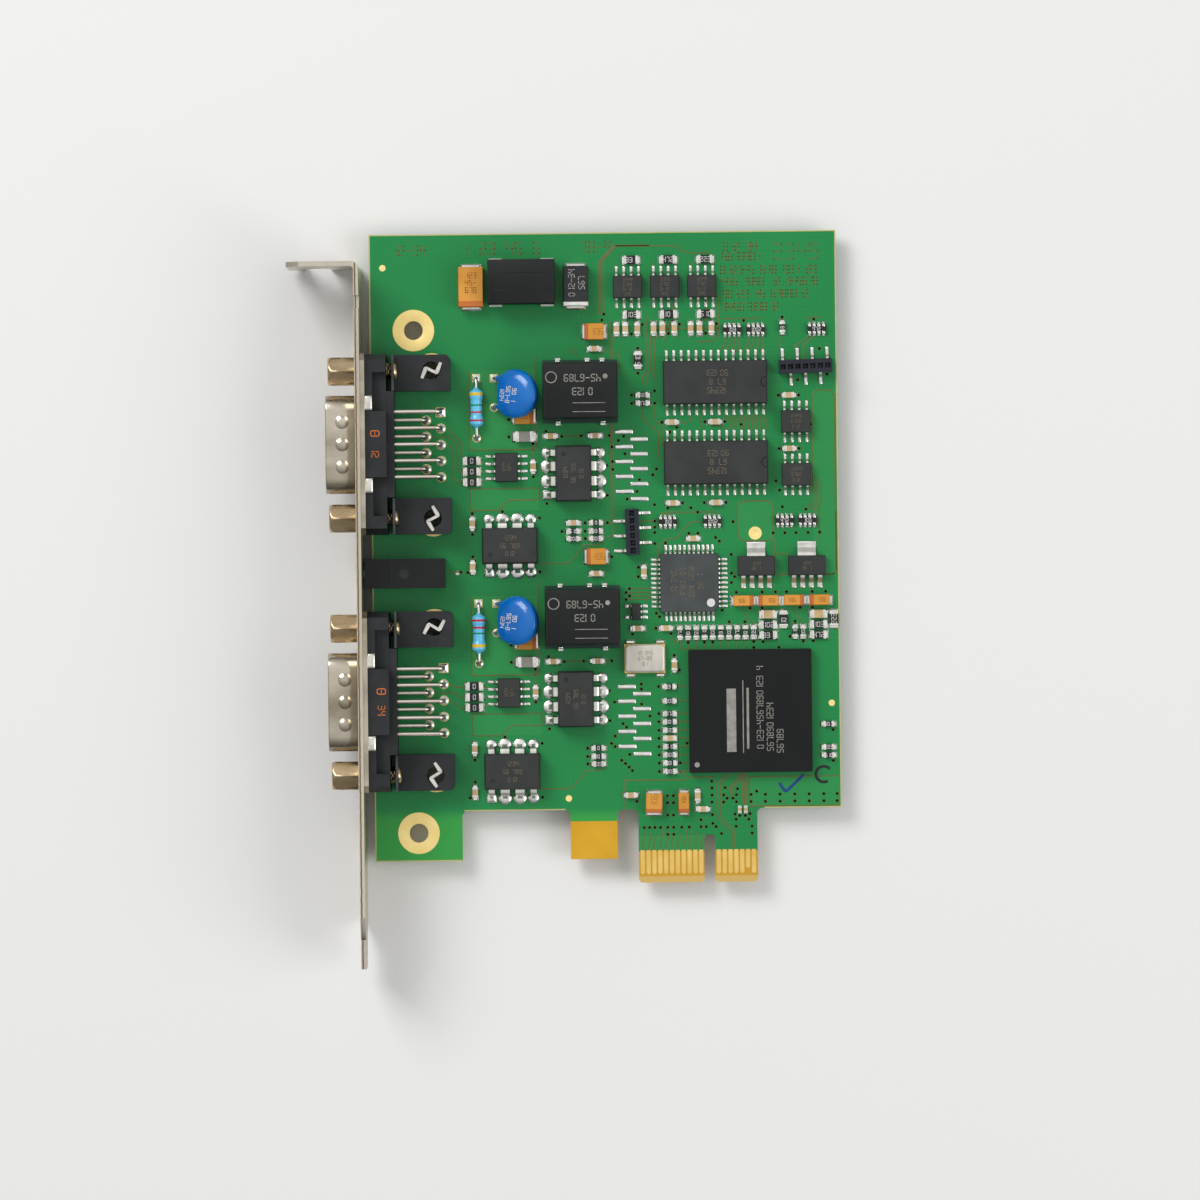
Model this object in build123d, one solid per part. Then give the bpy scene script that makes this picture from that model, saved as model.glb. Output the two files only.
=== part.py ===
"""Plug-in interface card: a slot card with two nine-pin connectors on a full-height bracket.

Frame: the origin is on the centre line of the key notch, at the lower edge of the
contact tab, on the component face of the board. X runs away from the bracket,
Y away from the contact tab and Z out of the component face. All sizes are in mm.
"""
import os
from math import radians, tan

from build123d import *

# Board
BOARD_THICK = 1.57
BOARD_LEFT = -57.15
BOARD_RIGHT = 22.6
BOARD_TOP = 111.15
SHOULDER_Y = 12.55
LEG_BOTTOM = 4.05
LEG_RIGHT = -42.2
OUTLINE_FILLET = 0.9
TAB_LEFT = -12.15
TAB_RIGHT = 8.15
TAB_CORNER = 0.45
KEY_WIDTH = 1.9
KEY_HEIGHT = 8.2
BEVEL_LENGTH = 1.1
BEVEL_DEPTH = 0.35
LATCH_LEFT = -23.75
LATCH_RIGHT = -15.75
LATCH_BOTTOM = 4.19
LATCH_PLATED_TOP = 10.6

# Mounting holes of the board
MOUNT_X = -49.67
MOUNT_LOW_Y = 8.88
MOUNT_SPACING = 85.87
MOUNT_RADIUS = 1.6

# Edge contacts
PIN_PITCH = 1.0
PINS_LEFT = 11
PINS_RIGHT = 7
FIRST_PIN_GAP = 1.5
PIN_WIDTH = 0.72
PIN_TOP = 5.55
PIN_TIP = 1.35
PIN_TAPER = 0.35
SHORT_PIN_TIP = 2.25
SHORT_PIN_NUMBER = 5
PLATING = 0.045

# Slot bracket, bent from sheet
SHEET = 0.86
BRACKET_INNER_X = -58.6
BRACKET_WIDTH = 18.42
BRACKET_LOW_Z = -4.1
BRACKET_LENGTH = 120.02
BRACKET_TOP = 106.2
SCREW_TAB_LENGTH = 11.43
BEND_RADIUS = 0.5
SCREW_SLOT_WIDTH = 4.42
SCREW_SLOT_DEPTH = 5.2
SCREW_SLOT_FROM_FACE = 6.35
TAB_CHAMFER = 2.2
EDGE_NOTCH_Y = 99.3
EDGE_NOTCH_WIDTH = 2.17
EDGE_NOTCH_DEPTH = 3.2
TONGUE_WIDTH = 10.19
TONGUE_LENGTH = 5.0
TONGUE_TAPER = 3.8
LIGHT_WINDOW_RADIUS = 1.25

# Nine-pin connectors
CONNECTOR_YS = {"upper": 75.2, "lower": 31.5}
AXIS_Z = 6.3
SHELL_WIDTH = 17.6
SHELL_HEIGHT = 9.3
SHELL_SLOPE = 10
SHELL_CORNER = 2.5
SHELL_WALL = 0.5
SHELL_DEPTH = 5.8
SCREW_SPACING = 24.99
LOCK_OFFSET = SCREW_SPACING / 2 + 0.105
LOCK_RADIUS = 1.55
FOOT_RIM = 1.15
HOUSING_HALF = LOCK_OFFSET + LOCK_RADIUS + FOOT_RIM
FLANGE_MARGIN = 0.105
FLANGE_WIDTH = 2 * (HOUSING_HALF + FLANGE_MARGIN)
FLANGE_HEIGHT = 12.5
FLANGE_THICK = 0.8
FLANGE_CORNER = 1.2
SHELL_CLEARANCE = 0.3
CLIP_OFFSET = 7.0
CLIP_WIDTH = 2.4
CLIP_THICK = 0.4
STUD_RADIUS = 1.42
STUD_CLEARANCE = 0.12
BRACKET_STUD_CLEARANCE = 0.35
HEX_FLATS = 4.75
HEX_LENGTH = 4.7
TAPPED_RADIUS = 1.2
TAPPED_DEPTH = 4.0
STUD_END_X = -52.4

# Plastic of a connector
HOUSING_BACK_X = -54.2
RIM_DEPTH = 1.25
RIM_BOTTOM_CLEARANCE = 0.05
EAR_WIDTH = 3.1
EAR_INNER = HOUSING_HALF - EAR_WIDTH
EAR_SLOPE = 1.0
CENTRE_HALF = 5.6
SHELF_TOP = 10.0
CENTRE_RISE = 0.15
COMB_BACK_X = -52.9
COMB_HALF = 9.0
COMB_CLEARANCE = 0.12
COMB_TOP = 9.9
NUT_PLATE_THICK = 0.4
NUT_PLATE_TOP = 8.8
FOOT_END_X = -43.4
FOOT_TOP = 4.2
FOOT_CORNER = 1.0
LOCK_X = -46.6
LOCK_STRIP = 0.85
LOCK_THICK = 0.35
LOCK_ARM = 2.4
LOCK_DEPTH = 3.4

# Contacts of a connector
CONTACT_PITCH = 2.77
ROW_OFFSET = 2.84
WIRE = 0.7
WIRE_CLEARANCE = 0.05
WIRE_BEND = 0.6
LONG_PAD_X = -45.15
SHORT_PAD_X = -47.65
FRONT_PIN = 0.9
FRONT_PIN_LENGTH = 5.1
HOLE_CLEARANCE = 0.12
TAIL = 1.1

# Indicator light
LIGHT_Y = 53.25
LIGHT_FRONT_X = -58.3
LIGHT_SPLIT_X = -53.95
LIGHT_BACK_X = -44.6
LIGHT_WIDTH = 5.02
LIGHT_HEIGHT = 5.4
LIGHT_GROOVE = 0.15
LENS_RADIUS = 0.95
LENS_Z = 2.8
LENS_REACH = 0.95

# Channel electronics: the lower channel repeats the upper one
CHANNEL_STEP = 38.5
CHANNELS = (0, -CHANNEL_STEP)

# Converters
CONVERTER_X = -21.3
CONVERTER_Y = 84.0
CONVERTER_BASE = (12.85, 10.75)
CONVERTER_CASE = (12.65, 9.4)
CONVERTER_STANDOFF = 0.5
CONVERTER_BASE_THICK = 0.9
CONVERTER_TOP = 8.0
CONVERTER_FEET = ((-3.8, 1), (1.25, 1), (3.8, 1), (-3.8, -1), (3.85, -1))

# Disc suppressors
DISC_X = -36.0
DISC_LEAD_YS = (86.45, 81.44)
DISC_RADIUS = 4.15
DISC_THICK = 3.5
DISC_EDGE = 1.3
DISC_LEAN = 40
DISC_LEAD_RADIUS = 0.3
DISC_LIFT = 1.3

# Axial resistors
AXIAL_X = -39.05
AXIAL_LEAD_YS = (86.5, 76.25)
AXIAL_BODY_Y = 81.4
AXIAL_LENGTH = 6.2
AXIAL_END_LENGTH = 1.45
AXIAL_END_RADIUS = 1.15
AXIAL_WAIST_RADIUS = 1.0
AXIAL_LEAD_RADIUS = 0.3

# Small chip parts: length, width, height
SMALL_CHIP = (2.6, 0.95, 0.7)
MEDIUM_CHIP = (3.2, 1.4, 0.65)
LARGE_CHIP = (4.1, 1.75, 1.5)
TINY_CHIP = (1.2, 0.65, 0.5)
NETWORK_CHIP = (3.2, 1.6, 0.6)

LEAD_THICK = 0.2
STANDOFF = 0.12

os.makedirs("parts", exist_ok=True)


def block(x0, x1, y0, y1, z0, z1):
    """A box between two corners."""
    return Pos((x0 + x1) / 2, (y0 + y1) / 2, (z0 + z1) / 2) * Box(x1 - x0, y1 - y0, z1 - z0)


def standing_block(x, y, z, length, width, height, turn=0):
    """A box that stands on the height z with its middle over x, y."""
    return Pos(x, y, z + height / 2) * Rot(0, 0, turn) * Box(length, width, height)


def rod(x, y, z0, z1, radius):
    """An upright round rod."""
    return Pos(x, y, (z0 + z1) / 2) * Cylinder(radius, z1 - z0)


def thin_rod(x, y, z0, z1, radius, sides=8):
    """An upright wire, or the cutter for its hole, with flats instead of a round."""
    return Pos(x, y, z0) * extrude(RegularPolygon(radius, sides), amount=z1 - z0)


def rod_along_x(x0, x1, y, z, radius):
    """A round rod that lies along X."""
    return Pos((x0 + x1) / 2, y, z) * Rot(0, 90, 0) * Cylinder(radius, x1 - x0)


def flat_rod_along_x(x0, x1, y, z, radius, sides=12):
    """A rod that lies along X, with flats instead of a round."""
    section = Plane.YZ * RegularPolygon(radius, sides)
    return Pos(x0, y, z) * extrude(section, amount=x1 - x0)


def extrude_x(points, x0, x1):
    """An outline of (y, z) points carried from x0 to x1."""
    face = make_face(Polyline(*points, close=True))
    return Pos(x0, 0, 0) * extrude(Plane.YZ * face, amount=x1 - x0)


def save(name, *solids):
    """Write one node: a single solid or a group of like solids."""
    shape = solids[0] if len(solids) == 1 else Compound(children=list(solids))
    shape.label = name
    export_step(shape, f"parts/{name}.step")


def board_outline():
    """The face of the board with rounded inner corners, a key notch and chamfered tab corners."""
    points = [
        (BOARD_LEFT, BOARD_TOP),
        (BOARD_LEFT, LEG_BOTTOM),
        (LEG_RIGHT, LEG_BOTTOM),
        (LEG_RIGHT, SHOULDER_Y),
        (LATCH_LEFT, SHOULDER_Y),
        (LATCH_LEFT, LATCH_BOTTOM),
        (LATCH_RIGHT, LATCH_BOTTOM),
        (LATCH_RIGHT, SHOULDER_Y),
        (TAB_LEFT, SHOULDER_Y),
        (TAB_LEFT, 0),
        (TAB_RIGHT, 0),
        (TAB_RIGHT, SHOULDER_Y),
        (BOARD_RIGHT, SHOULDER_Y),
        (BOARD_RIGHT, BOARD_TOP),
    ]
    face = make_face(Polyline(*points, close=True))
    inner = [v for v in face.vertices() if v.Y == SHOULDER_Y and v.X < BOARD_RIGHT]
    face = fillet(inner, OUTLINE_FILLET)
    face -= Pos(0, KEY_HEIGHT / 2 - KEY_WIDTH / 4) * Rectangle(KEY_WIDTH, KEY_HEIGHT - KEY_WIDTH / 2)
    face -= Pos(0, KEY_HEIGHT - KEY_WIDTH / 2) * Circle(KEY_WIDTH / 2)
    lower = [v for v in face.vertices() if abs(v.Y) < 0.001]
    return chamfer(lower, TAB_CORNER)


def contact_places(centre_y):
    """Where the nine wires go into the board, with the height of each row."""
    places = []
    for i in range(5):
        places.append((LONG_PAD_X, centre_y + (2 - i) * CONTACT_PITCH, AXIS_Z + ROW_OFFSET / 2))
    for i in range(4):
        places.append((SHORT_PAD_X, centre_y + (1.5 - i) * CONTACT_PITCH, AXIS_Z - ROW_OFFSET / 2))
    return places


def light_lead_places():
    """The two wires of the indicator light."""
    return [(LIGHT_BACK_X + 2.0, LIGHT_Y), (LIGHT_BACK_X + 4.54, LIGHT_Y)]


def small_lead_places():
    """The upright wires of the axial resistors, the disc suppressors and the light."""
    places = [(x, y, DISC_LEAD_RADIUS) for x, y in light_lead_places()]
    for dy in CHANNELS:
        places += [(AXIAL_X, y + dy, AXIAL_LEAD_RADIUS) for y in AXIAL_LEAD_YS]
        places += [(DISC_X, y + dy, DISC_LEAD_RADIUS) for y in DISC_LEAD_YS]
    return places


def drill(x, y, radius, sides=0):
    """A cutter for a hole through the board, round or with flats."""
    if sides:
        return thin_rod(x, y, -BOARD_THICK - 1, 1, radius, sides)
    return rod(x, y, -BOARD_THICK - 1, 1, radius)


def circuit_board():
    board = Pos(0, 0, -BOARD_THICK) * extrude(board_outline(), amount=BOARD_THICK)
    cutters = [drill(MOUNT_X, MOUNT_LOW_Y + dy, MOUNT_RADIUS) for dy in (0, MOUNT_SPACING)]
    for centre_y in CONNECTOR_YS.values():
        for side in (1, -1):
            cutters.append(drill(LOCK_X, centre_y + side * LOCK_OFFSET, LOCK_RADIUS, 12))
        side_length = WIRE + 2 * HOLE_CLEARANCE
        for x, y, _ in contact_places(centre_y):
            cutters.append(standing_block(x, y, -BOARD_THICK - 1, side_length, side_length, BOARD_THICK + 2))
    for x, y, radius in small_lead_places():
        cutters.append(drill(x, y, radius + HOLE_CLEARANCE, 8))
    # Bevels on both faces let the tab slide into its socket.
    bevel = [(-1, -BEVEL_DEPTH), (0, -BEVEL_DEPTH), (BEVEL_LENGTH, 0), (-1, 0)]
    wedge = extrude_x(bevel, TAB_LEFT - 1, TAB_RIGHT + 1)
    cutters.append(wedge)
    cutters.append(Pos(0, 0, -BOARD_THICK) * mirror(wedge, Plane.XY))
    return board - cutters


def edge_contacts():
    """Flat fingers on both faces of the tab, each with a tapered lower tip."""
    centres = [-FIRST_PIN_GAP - i * PIN_PITCH for i in range(PINS_LEFT)]
    centres += [FIRST_PIN_GAP + i * PIN_PITCH for i in range(PINS_RIGHT)]
    short = FIRST_PIN_GAP + SHORT_PIN_NUMBER * PIN_PITCH
    fingers = []
    for x in centres:
        tip = SHORT_PIN_TIP if x == short else PIN_TIP
        half = PIN_WIDTH / 2
        shape = make_face(
            Polyline(
                (x - half, PIN_TOP),
                (x - half, tip + PIN_TAPER),
                (x, tip),
                (x + half, tip + PIN_TAPER),
                (x + half, PIN_TOP),
                close=True,
            )
        )
        fingers.append(extrude(shape, amount=PLATING))
        fingers.append(Pos(0, 0, -BOARD_THICK - PLATING) * extrude(shape, amount=PLATING))
    return fingers


def latch_plating():
    """Plating that wraps the lower end of the latch tab."""
    low = LATCH_BOTTOM - PLATING
    back = -BOARD_THICK - PLATING
    outline = [
        (LATCH_PLATED_TOP, 0),
        (LATCH_PLATED_TOP, PLATING),
        (low, PLATING),
        (low, back),
        (LATCH_PLATED_TOP, back),
        (LATCH_PLATED_TOP, -BOARD_THICK),
        (LATCH_BOTTOM, -BOARD_THICK),
        (LATCH_BOTTOM, 0),
    ]
    return extrude_x(outline, LATCH_LEFT, LATCH_RIGHT)


def d_face(grow=0.0):
    """The D-shaped outline of a shell in local Y, Z, wide side up, grown all round."""
    half_height = SHELL_HEIGHT / 2
    lean = half_height * tan(radians(SHELL_SLOPE))
    wide = SHELL_WIDTH / 2
    outline = make_face(
        Polyline(
            (-wide, half_height),
            (-wide + 2 * lean, -half_height),
            (wide - 2 * lean, -half_height),
            (wide, half_height),
            close=True,
        )
    )
    outline = fillet(outline.vertices(), SHELL_CORNER)
    return offset(outline, grow) if grow else outline


def d_prism(x0, x1, centre_y, grow=0.0):
    return Pos(x0, centre_y, AXIS_Z) * extrude(Plane.YZ * d_face(grow), amount=x1 - x0)


def stud_cutters(x0, x1, centre_y, clearance):
    reach = SCREW_SPACING / 2
    return [flat_rod_along_x(x0, x1, centre_y + s * reach, AXIS_Z, STUD_RADIUS + clearance) for s in (1, -1)]


def slot_bracket():
    outer_x = BRACKET_INNER_X - SHEET
    top = BRACKET_TOP
    tip_x = outer_x - SCREW_TAB_LENGTH
    bottom = top - BRACKET_LENGTH
    outline = make_face(
        Polyline(
            (BRACKET_INNER_X, bottom),
            (BRACKET_INNER_X, top),
            (tip_x, top),
            (tip_x, top - SHEET),
            (outer_x, top - SHEET),
            (outer_x, bottom),
            close=True,
        )
    )
    outer_corner = [v for v in outline.vertices() if v.Y > top - 0.01 and v.X > outer_x]
    outline = fillet(outer_corner, BEND_RADIUS + SHEET)
    inner_corner = [v for v in outline.vertices() if abs(v.X - outer_x) < 0.01 and v.Y > bottom + 1]
    outline = fillet(inner_corner, BEND_RADIUS)
    high_z = BRACKET_LOW_Z + BRACKET_WIDTH
    mid_z = BRACKET_LOW_Z + BRACKET_WIDTH / 2
    sheet = Pos(0, 0, BRACKET_LOW_Z) * extrude(outline, amount=BRACKET_WIDTH)

    # Lower end: the sides run in to a tongue of less width.
    taper_top = bottom + TONGUE_LENGTH + TONGUE_TAPER
    cutters = []
    for side, edge in ((1, high_z), (-1, BRACKET_LOW_Z)):
        shoulder = mid_z + side * TONGUE_WIDTH / 2
        points = [
            (taper_top, edge),
            (bottom + TONGUE_LENGTH, shoulder),
            (bottom - 1, shoulder),
            (bottom - 1, edge + side),
            (taper_top, edge + side),
        ]
        cutters.append(extrude_x(points, outer_x - 1, BRACKET_INNER_X + 1))

    # Notch in the edge beside the bend.
    cutters.append(
        block(
            outer_x - 0.1,
            BRACKET_INNER_X + 0.1,
            EDGE_NOTCH_Y - EDGE_NOTCH_WIDTH / 2,
            EDGE_NOTCH_Y + EDGE_NOTCH_WIDTH / 2,
            high_z - EDGE_NOTCH_DEPTH,
            high_z + 1,
        )
    )

    # Open slot for the screw that holds the card in a chassis.
    slot_x = outer_x - SCREW_SLOT_FROM_FACE
    slot_end = BRACKET_LOW_Z + SCREW_SLOT_DEPTH
    slot = block(
        slot_x - SCREW_SLOT_WIDTH / 2,
        slot_x + SCREW_SLOT_WIDTH / 2,
        top - SHEET - 1,
        top + 1,
        BRACKET_LOW_Z - 1,
        slot_end,
    )
    slot += Pos(slot_x, top, slot_end) * Rot(90, 0, 0) * Cylinder(SCREW_SLOT_WIDTH / 2, 4)
    cutters.append(slot)
    for side, edge in ((1, high_z), (-1, BRACKET_LOW_Z)):
        corner = make_face(
            Polyline((tip_x, edge), (tip_x + TAB_CHAMFER, edge), (tip_x, edge - side * TAB_CHAMFER), close=True)
        )
        cutters.append(Pos(0, top + 1, 0) * extrude(Plane.XZ * corner, amount=SHEET + 2))

    # Openings for the two connectors and the light.
    for centre_y in CONNECTOR_YS.values():
        cutters.append(d_prism(outer_x - 1, BRACKET_INNER_X + 1, centre_y, SHELL_CLEARANCE))
        cutters += stud_cutters(outer_x - 1, BRACKET_INNER_X + 1, centre_y, BRACKET_STUD_CLEARANCE)
    cutters.append(flat_rod_along_x(outer_x - 1, BRACKET_INNER_X + 1, LIGHT_Y, LENS_Z, LIGHT_WINDOW_RADIUS, 16))
    return sheet - cutters


def connector_shell(centre_y):
    """Drawn metal shell: D tube, flange and four clips folded over the housing."""
    front_x = BRACKET_INNER_X
    back_x = front_x + FLANGE_THICK
    tube = d_prism(front_x - SHELL_DEPTH, front_x + 0.1, centre_y)
    flange_face = chamfer(Rectangle(FLANGE_WIDTH, FLANGE_HEIGHT).vertices(), FLANGE_CORNER)
    flange = Pos(front_x, centre_y, AXIS_Z) * extrude(Plane.YZ * flange_face, amount=FLANGE_THICK)
    shell = flange + tube
    for side in (1, -1):
        for edge in (1, -1):
            y = centre_y + side * CLIP_OFFSET
            z = AXIS_Z + edge * (FLANGE_HEIGHT / 2 - CLIP_THICK / 2)
            clip = block(
                back_x,
                back_x + RIM_DEPTH,
                y - CLIP_WIDTH / 2,
                y + CLIP_WIDTH / 2,
                z - CLIP_THICK / 2,
                z + CLIP_THICK / 2,
            )
            shell += clip
    shell -= d_prism(front_x - SHELL_DEPTH - 1, back_x + 1, centre_y, -SHELL_WALL)
    return shell - stud_cutters(front_x - 1, back_x + 1, centre_y, STUD_CLEARANCE)


def both_sides(points, centre_y):
    """An outline of (y, z) points for the +Y half, with its mirror image added."""
    return [(centre_y - y, z) for y, z in reversed(points)] + [(centre_y + y, z) for y, z in points]


def connector_housing(centre_y):
    """Moulded plastic: a front rim that the clips hold, two ears, two lower shelves, a raised
    centre, a rear comb and a front plug."""
    front_x = BRACKET_INNER_X + FLANGE_THICK
    under_clip = AXIS_Z + FLANGE_HEIGHT / 2 - CLIP_THICK
    over_clip = AXIS_Z - FLANGE_HEIGHT / 2 + CLIP_THICK + RIM_BOTTOM_CLEARANCE
    slope = [
        (HOUSING_HALF - EAR_SLOPE, under_clip),
        (HOUSING_HALF, under_clip - 2 * EAR_SLOPE),
    ]
    rim = [(CENTRE_HALF, under_clip + CENTRE_RISE), (CENTRE_HALF, under_clip)] + slope + [(HOUSING_HALF, over_clip)]
    rear = [(CENTRE_HALF, under_clip + CENTRE_RISE), (CENTRE_HALF, SHELF_TOP), (EAR_INNER, SHELF_TOP)]
    rear += [(EAR_INNER, under_clip)] + slope + [(HOUSING_HALF, 0)]
    housing = extrude_x(both_sides(rim, centre_y), front_x, front_x + RIM_DEPTH + RIM_BOTTOM_CLEARANCE)
    housing += extrude_x(both_sides(rear, centre_y), front_x + RIM_DEPTH + RIM_BOTTOM_CLEARANCE, HOUSING_BACK_X)
    housing += block(HOUSING_BACK_X, COMB_BACK_X, centre_y - COMB_HALF, centre_y + COMB_HALF, 0, COMB_TOP)
    housing += d_prism(BRACKET_INNER_X, front_x, centre_y, -SHELL_WALL - WIRE_CLEARANCE)
    cutters = stud_cutters(BRACKET_INNER_X - 1, HOUSING_BACK_X + 1, centre_y, STUD_CLEARANCE)
    half = WIRE / 2 + WIRE_CLEARANCE
    for _, y, z in contact_places(centre_y):
        cutters.append(block(BRACKET_INNER_X - 1, COMB_BACK_X + 1, y - half, y + half, z - half, z + half))
    return housing - cutters


def connector_contact(pad_x, y, z):
    """One contact: a square wire bent down into the board and a fuller pin at the front."""
    half = WIRE / 2
    low = -BOARD_THICK - TAIL
    top = z + half
    outline = make_face(
        Polyline(
            (BRACKET_INNER_X, top),
            (BRACKET_INNER_X, z - half),
            (pad_x - half, z - half),
            (pad_x - half, low),
            (pad_x + half, low),
            (pad_x + half, top - WIRE_BEND),
            (pad_x + half - WIRE_BEND, top),
            close=True,
        )
    )
    wire = Pos(0, y + half, 0) * extrude(Plane.XZ * outline, amount=WIRE)
    front_x = BRACKET_INNER_X - FRONT_PIN_LENGTH
    reach = FRONT_PIN / 2
    return wire + block(front_x, BRACKET_INNER_X, y - reach, y + reach, z - reach, z + reach)


def connector_foot(centre_y, side):
    """Plastic foot with a round hole for its board lock and one rounded outer corner."""
    y0 = centre_y + side * (COMB_HALF + COMB_CLEARANCE)
    y1 = centre_y + side * HOUSING_HALF
    face = make_face(
        Polyline((COMB_BACK_X, y0), (FOOT_END_X, y0), (FOOT_END_X, y1), (COMB_BACK_X, y1), close=True)
    )
    outer = [v for v in face.vertices() if v.X == FOOT_END_X and v.Y == y1]
    face = fillet(outer, FOOT_CORNER)
    face -= Pos(LOCK_X, centre_y + side * LOCK_OFFSET) * RegularPolygon(LOCK_RADIUS, 12)
    return extrude(face, amount=FOOT_TOP)


def nut_plate(centre_y, side):
    """Thin steel plate that takes the thread of one jackscrew."""
    y0 = centre_y + side * (COMB_HALF + COMB_CLEARANCE)
    y1 = centre_y + side * HOUSING_HALF
    x1 = COMB_BACK_X
    plate = block(x1 - NUT_PLATE_THICK, x1, min(y0, y1), max(y0, y1), 0, NUT_PLATE_TOP)
    return plate - flat_rod_along_x(x1 - 2, x1 + 2, centre_y + side * SCREW_SPACING / 2, AXIS_Z, STUD_RADIUS)


def board_lock(y, turn):
    """Folded metal strip: two arms over the foot and a blade down through the board."""
    half = LOCK_STRIP / 2
    arm = LOCK_ARM
    outline = make_face(
        Polyline(
            (-0.9 - half, -0.2),
            (0.45 - half, -arm),
            (0.45 + half, -arm),
            (-0.9 + half + 0.35, -0.35),
            (0.9 + half, 0.2),
            (-0.45 + half, arm),
            (-0.45 - half, arm),
            (0.9 - half - 0.35, 0.35),
            close=True,
        )
    )
    arms = Pos(0, 0, FOOT_TOP) * extrude(outline, amount=LOCK_THICK)
    blade = standing_block(0, 0, FOOT_TOP - LOCK_DEPTH - BOARD_THICK - 1, 1.6, LOCK_THICK, LOCK_DEPTH + BOARD_THICK + 1, 25)
    return Pos(LOCK_X, y, 0) * Rot(0, 0, turn) * (arms + blade)


def jackscrew(y):
    """Hexagonal standoff with a tapped front and a threaded stud behind."""
    seat = BRACKET_INNER_X - SHEET
    hexagon = Plane.YZ * RegularPolygon(HEX_FLATS / 2, 6, major_radius=False, rotation=30)
    head = Pos(seat - HEX_LENGTH, y, AXIS_Z) * extrude(hexagon, amount=HEX_LENGTH)
    stud = flat_rod_along_x(seat, STUD_END_X, y, AXIS_Z, STUD_RADIUS)
    bore = rod_along_x(seat - HEX_LENGTH - 1, seat - HEX_LENGTH + TAPPED_DEPTH, y, AXIS_Z, TAPPED_RADIUS)
    return head + stud - bore


def light_housing():
    """Black light holder with a fine groove where its front part joins."""
    y0 = LIGHT_Y - LIGHT_WIDTH / 2
    y1 = LIGHT_Y + LIGHT_WIDTH / 2
    body = block(LIGHT_FRONT_X, LIGHT_BACK_X, y0, y1, 0, LIGHT_HEIGHT)
    groove = LIGHT_GROOVE
    return body - block(LIGHT_SPLIT_X - groove, LIGHT_SPLIT_X, y0 - 1, y1 + 1, LIGHT_HEIGHT - groove, LIGHT_HEIGHT + 1)


def gull_lead(reach, width, height):
    """A bent lead that starts at the origin and points along X, foot on the board."""
    foot = reach * 0.45
    outline = [
        (0, height),
        (reach - foot, LEAD_THICK),
        (reach, LEAD_THICK),
        (reach, 0),
        (reach - foot - 0.6 * LEAD_THICK, 0),
        (0, height - LEAD_THICK),
    ]
    face = make_face(Polyline(*outline, close=True))
    return Pos(0, width / 2, 0) * extrude(Plane.XZ * face, amount=width)


def straight_lead(reach, width, height):
    """A plain slanted lead for packages with many leads."""
    outline = [(0, height), (reach, LEAD_THICK), (reach, 0), (0, height - LEAD_THICK)]
    face = make_face(Polyline(*outline, close=True))
    return Pos(0, width / 2, 0) * extrude(Plane.XZ * face, amount=width)


def package(length, width, top, seat, draft=9):
    """Moulded package: straight sides up to the leads, sloped sides above."""
    lower = Pos(0, 0, (STANDOFF + seat) / 2) * Box(length, width, seat - STANDOFF)
    upper = Pos(0, 0, seat) * extrude(Rectangle(length, width), amount=top - seat, taper=draft)
    return lower + upper


def place(shape, x, y, turn=0):
    return Pos(x, y, 0) * Rot(0, 0, turn) * shape


def row_of_leads(make, offsets, half_width, x, y, turn, sides=(1, -1)):
    """Leads on both long sides of a package whose length lies along local X."""
    leads = []
    for side in sides:
        for offset_x, width, reach, height in offsets:
            lead = make(reach, width, height)
            spot = Pos(offset_x, side * half_width, 0) * Rot(0, 0, 90 * side)
            leads.append(Pos(x, y, 0) * Rot(0, 0, turn) * spot * lead)
    return leads


def even_row(count, pitch, width, reach, height):
    first = -(count - 1) * pitch / 2
    return [(first + i * pitch, width, reach, height) for i in range(count)]


SO8_BODY = (5.0, 3.9, 1.75, 0.95)
SO8_ROW = even_row(4, 1.27, 0.42, 1.2, 0.95)
SO28_BODY = (17.8, 7.5, 2.65, 1.35)
SO28_ROW = even_row(14, 1.27, 0.42, 1.4, 1.35)
ISOLATOR_BODY = (9.6, 6.2, 3.7, 2.0)
ISOLATOR_ROW = [(-3.58, 1.1, 2.0, 2.0), (-1.27, 1.6, 2.0, 2.0), (1.27, 1.6, 2.0, 2.0), (3.58, 1.1, 2.0, 2.0)]

DRIVER_PITCH = 6.34
DRIVER_PLACES = [(-13.0 + i * DRIVER_PITCH, 101.75, 0) for i in range(3)]
MEMORY_PLACES = [(15.45, 78.5, 0), (15.45, 69.45, 0)]
TRANSCEIVER_PLACES = [(-34.0, 71.18 + dy, 90) for dy in CHANNELS]
CONTROLLER_PLACES = [(1.75, 85.3, 0), (1.75, 71.6, 0)]
ISOLATOR_PLACES = [(-33.57, 57.78 + dy, 0) for dy in CHANNELS] + [(-22.6, 70.0 + dy, 90) for dy in CHANNELS]


def save_family(name, body, row, places, make=gull_lead):
    """Bodies and leads of like packages, each kind as one node."""
    length, width, top, seat = body
    save(f"{name}_bodies", *[place(package(length, width, top, seat), x, y, turn) for x, y, turn in places])
    leads = []
    for x, y, turn in places:
        leads += row_of_leads(make, row, width / 2, x, y, turn)
    save(f"{name}_leads", *leads)


# Logic chip with leads on four sides
LOGIC_CENTRE = (-3.0, 51.12)
LOGIC_SIZE = 10.0
LOGIC_TOP = 1.5
LOGIC_SEAT = 0.85
LOGIC_CUT = 0.9
LOGIC_ROW = even_row(11, 0.8, 0.38, 1.1, LOGIC_SEAT)


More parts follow.
